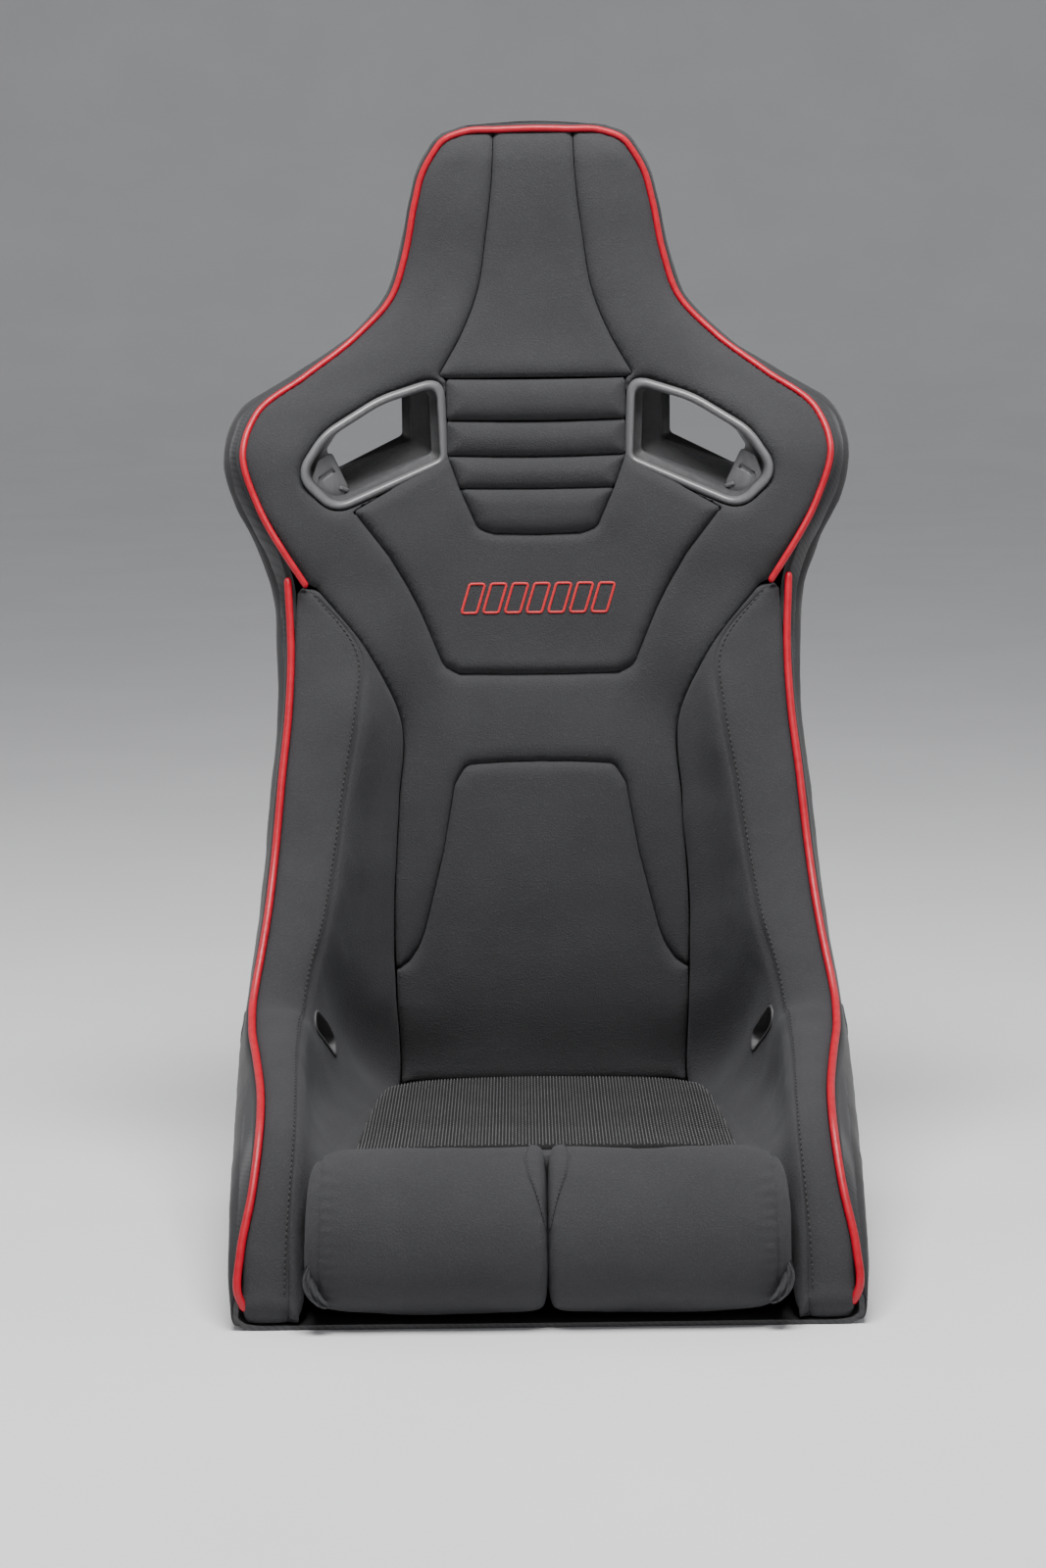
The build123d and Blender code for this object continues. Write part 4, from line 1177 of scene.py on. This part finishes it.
def inflate(obj):
    """Stuffs a closed form: remesh, a short pressure simulation, and a limit on how far a point may move."""
    remesh = obj.modifiers.new("remesh", "REMESH")
    remesh.mode = "VOXEL"
    remesh.voxel_size = VOXEL
    apply_modifiers(obj)
    start = np.array([v.co for v in obj.data.vertices])
    cloth = obj.modifiers.new("cloth", "CLOTH")
    settings = cloth.settings
    settings.quality = 6
    settings.mass = 0.25
    settings.tension_stiffness = 22
    settings.compression_stiffness = 22
    settings.shear_stiffness = 8
    settings.bending_stiffness = 1.2
    settings.use_pressure = True
    settings.uniform_pressure_force = PRESSURE
    settings.effector_weights.gravity = 0
    cloth.collision_settings.use_collision = False
    for number in range(1, 21):
        bpy.context.scene.frame_set(number)
    apply_modifiers(obj)
    moved = np.array([v.co for v in obj.data.vertices]) - start
    far = np.linalg.norm(moved, axis=1, keepdims=True)
    moved *= np.minimum(1, FARTHEST / np.maximum(far, 1e-9))
    obj.data.vertices.foreach_set("co", (start + moved).ravel())
    obj.data.update()
    bpy.context.scene.frame_set(1)


def make_roll(side):
    name = SIDES[side]
    obj = add_object(f"roll_cover_{name}", *roll_mesh(side), fabric)
    inflate(obj)
    sub = obj.modifiers.new("smooth", "SUBSURF")
    sub.levels = sub.render_levels = 1
    apply_modifiers(obj)
    mesh = obj.data
    co = np.array([v.co for v in mesh.vertices])
    normals = np.array([v.normal for v in mesh.vertices])
    x = np.abs(co[:, 0]) / MM
    gusset = np.exp(-(((x - 184) / 1.9) ** 2)) * 2.8
    pucker = 0.45 * np.exp(-(((x - 177) / 7) ** 2)) * np.sin(co[:, 2] / MM * 0.75)
    wrinkles = ripple(co, 0.06, 1.4, side * 0.7) + ripple(co, 0.02, 0.45, side)
    co += normals * ((wrinkles + pucker - gusset) * MM)[:, None]
    co[:, 2] = np.maximum(co[:, 2], 7.8 * MM)
    mesh.vertices.foreach_set("co", co.ravel())
    mesh.materials.clear()
    mesh.materials.append(fabric)
    mesh.polygons.foreach_set("use_smooth", [True] * len(mesh.polygons))
    fit(obj, BASE, [f"front_roll_{name}"])
    return obj


for side in SIDES:
    make_roll(side)


def drape(target, origins, direction, lift):
    """Where lines from the origins meet the target piece, raised by lift (mm) against the direction."""
    mesh = target.data
    tree = BVHTree.FromPolygons([v.co for v in mesh.vertices], [p.vertices for p in mesh.polygons])
    direction = np.broadcast_to(unit(np.asarray(direction, float)), np.asarray(origins).shape)
    found = []
    for origin, way in zip(np.asarray(origins, float), direction):
        hit = tree.ray_cast(Vector(origin), Vector(way))[0]
        if hit is None:
            hit = tree.find_nearest(Vector(origin + way * 0.05))[0]
        found.append(np.array(hit) - way * lift * MM)
    return np.array(found)


# ---- leaf-shaped gussets over the split of the front roll ------------------------------------
LEAF = [(0.0, 12.0), (0.16, 14.5), (0.36, 18.5), (0.56, 15.0), (0.78, 7.0), (0.94, 2.2), (1.0, 1.0)]


def make_gusset(side, roll):
    name = SIDES[side]
    ring = smooth_path([(178, 131), (186, 135.5), (198, 136.5), (228, 127), (254, 103), (262, 86)], 2.6)
    tangent = unit(np.gradient(ring, axis=0))
    outward = np.stack([-tangent[:, 1], tangent[:, 0]], 1)
    if outward[len(outward) // 2] @ np.array((1, 1)) < 0:
        outward = -outward
    share = np.linspace(0, 1, len(ring))
    width = read_off(LEAF, share)
    cols = 9
    front, depth, outline = [], [], []
    for point, out, w in zip(ring, outward, width):
        across = 1.0 + np.linspace(0, 1, cols) * w
        forward, up = point + out * 30
        origin = np.stack([side * across, np.full(cols, -forward), np.full(cols, up)], 1) * MM
        way = np.array((0, out[0], -out[1]))
        d = np.minimum(across - 1.0 + 1.5, 1.0 + w - across)
        lift = 0.2 + 1.6 * np.sqrt(1 - (1 - np.clip(d / 4.0, 0, 1)) ** 2)
        hits = drape(roll, origin, way, 0.0)
        front.append(hits - way * (lift * MM)[:, None])
        depth.append(hits + way * 2.5 * MM)
        outline.append(hits[-2] - way * 1.7 * MM)
    obj = add_object(f"split_gusset_{name}", *closed_grid(np.array(front), np.array(depth)), fabric)
    fit(obj, BASE)
    thread = add_object(f"gusset_stitches_{name}", *stitch_row(np.array(outline), 3.6, 2.3, 0.4), black_thread)
    fit(thread, BASE)


for side, name in SIDES.items():
    make_gusset(side, bpy.data.objects[f"roll_cover_{name}"])


# ---- folded fabric ends at the roll's lower corners ------------------------------------------
FOLD = [(190, 252, 58), (192, 256, 50), (191.5, 260, 42), (188, 263, 34), (183, 264, 28), (177, 264, 24)]


def make_corner_fold(side):
    """A soft strip of gathered fabric, folded over on itself, from the roll's end round to its underside."""
    name = SIDES[side]
    path = smooth_path(FOLD, 1.0)
    share = np.linspace(0, 1, len(path))
    half_width = 1.2 + 3.8 * np.sin(math.pi * share) ** 0.6
    tangent = unit(np.gradient(path, axis=0))
    across = unit(np.cross(tangent, np.array((0, 1, 0))))
    front = []
    for point, way, wide, t in zip(path, across, half_width, share):
        row = []
        for b in np.linspace(-1, 1, 25):
            fold = 1.3 * math.sin(5.2 * b + 6.0 * t) + 0.9 * math.sin(9 * b - 14 * t) + 1.6 * (1 - b * b)
            across_at = point + way * (wide * b) + (0, fold * min(1, 5 * min(t, 1 - t) + 0.2), 0)
            row.append(across_at * (side, -1, 1) * MM)
        front.append(row)
    front = np.array(front)
    back = front + np.array((0, 0.004, 0))
    obj = add_object(f"corner_fold_{name}", *closed_grid(front, back), fabric)
    fit(obj, BASE)


for side in SIDES:
    make_corner_fold(side)

# ---- stitched motif on the yoke: a row of slanted bars in red thread -------------------------
BAR_COUNT, BAR_WIDTH, BAR_GAP, BAR_SLANT = 7, 14.0, 5.6, 8.0
BAR_LOW, BAR_HIGH = 527.0, 553.0
bars = []
span = BAR_COUNT * BAR_WIDTH + (BAR_COUNT - 1) * BAR_GAP
for k in range(BAR_COUNT):
    x = -span / 2 + k * (BAR_WIDTH + BAR_GAP) - BAR_SLANT / 2
    top = x + BAR_SLANT
    corners = [(x, BAR_LOW), (x + BAR_WIDTH, BAR_LOW), (top + BAR_WIDTH, BAR_HIGH), (top, BAR_HIGH)]
    loop = rounded(corners, 2.2, steps=4)
    loop = resample(np.vstack([loop, loop[:1]]), 1.1)[:-1]
    origin = np.stack([loop[:, 0], np.full(len(loop), -500.0), loop[:, 1]], 1) * MM
    path = drape(bpy.data.objects["yoke_cover"], origin, (0, 1, 0), 0.35)
    ridge = 1.0 + 0.12 * np.cos(np.arange(len(loop)) * math.pi)
    bars.append(tube(path, ridge * 1.15 * MM, 8, up=(0, -1, 0.1), closed=True, flat=0.7))
motif = add_object("yoke_motif", *joined(bars), red_thread)
fit(motif, SEAT)

# ---- carried-over nodes ---------------------------------------------------------------------
FINISHES = {"shell": shell_laminate, "bezel_rear": bezel_plastic, "bezel_screws": zinc_steel,
            "mount_plate": black_steel, "mount_inserts": zinc_steel, "hook_strips": hook_loop,
            "loop_strips": hook_loop}
for node_name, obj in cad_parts.items():
    for start, material in FINISHES.items():
        if node_name.startswith(start):
            obj.data.materials.clear()
            obj.data.materials.append(material)

# ---- floor ----------------------------------------------------------------------------------
SWEEP = [(0.5, 0), (4, 0), (8, 0), (9.5, 0.12), (10.6, 0.5), (11.5, 1.2), (12.1, 2.2), (12.4, 3.6), (12.5, 8)]
turns = np.linspace(0, 2 * math.pi, 96, endpoint=False)
rings = [np.stack([r * np.cos(turns), r * np.sin(turns), np.full(96, h)], 1) for r, h in SWEEP]
verts, faces = loft_loops(rings)
faces += [(k, (k + 1) % 96, len(verts)) for k in range(96)]
floor = add_object("floor", np.vstack([verts, (0, 0, 0)]), faces, pale_floor)
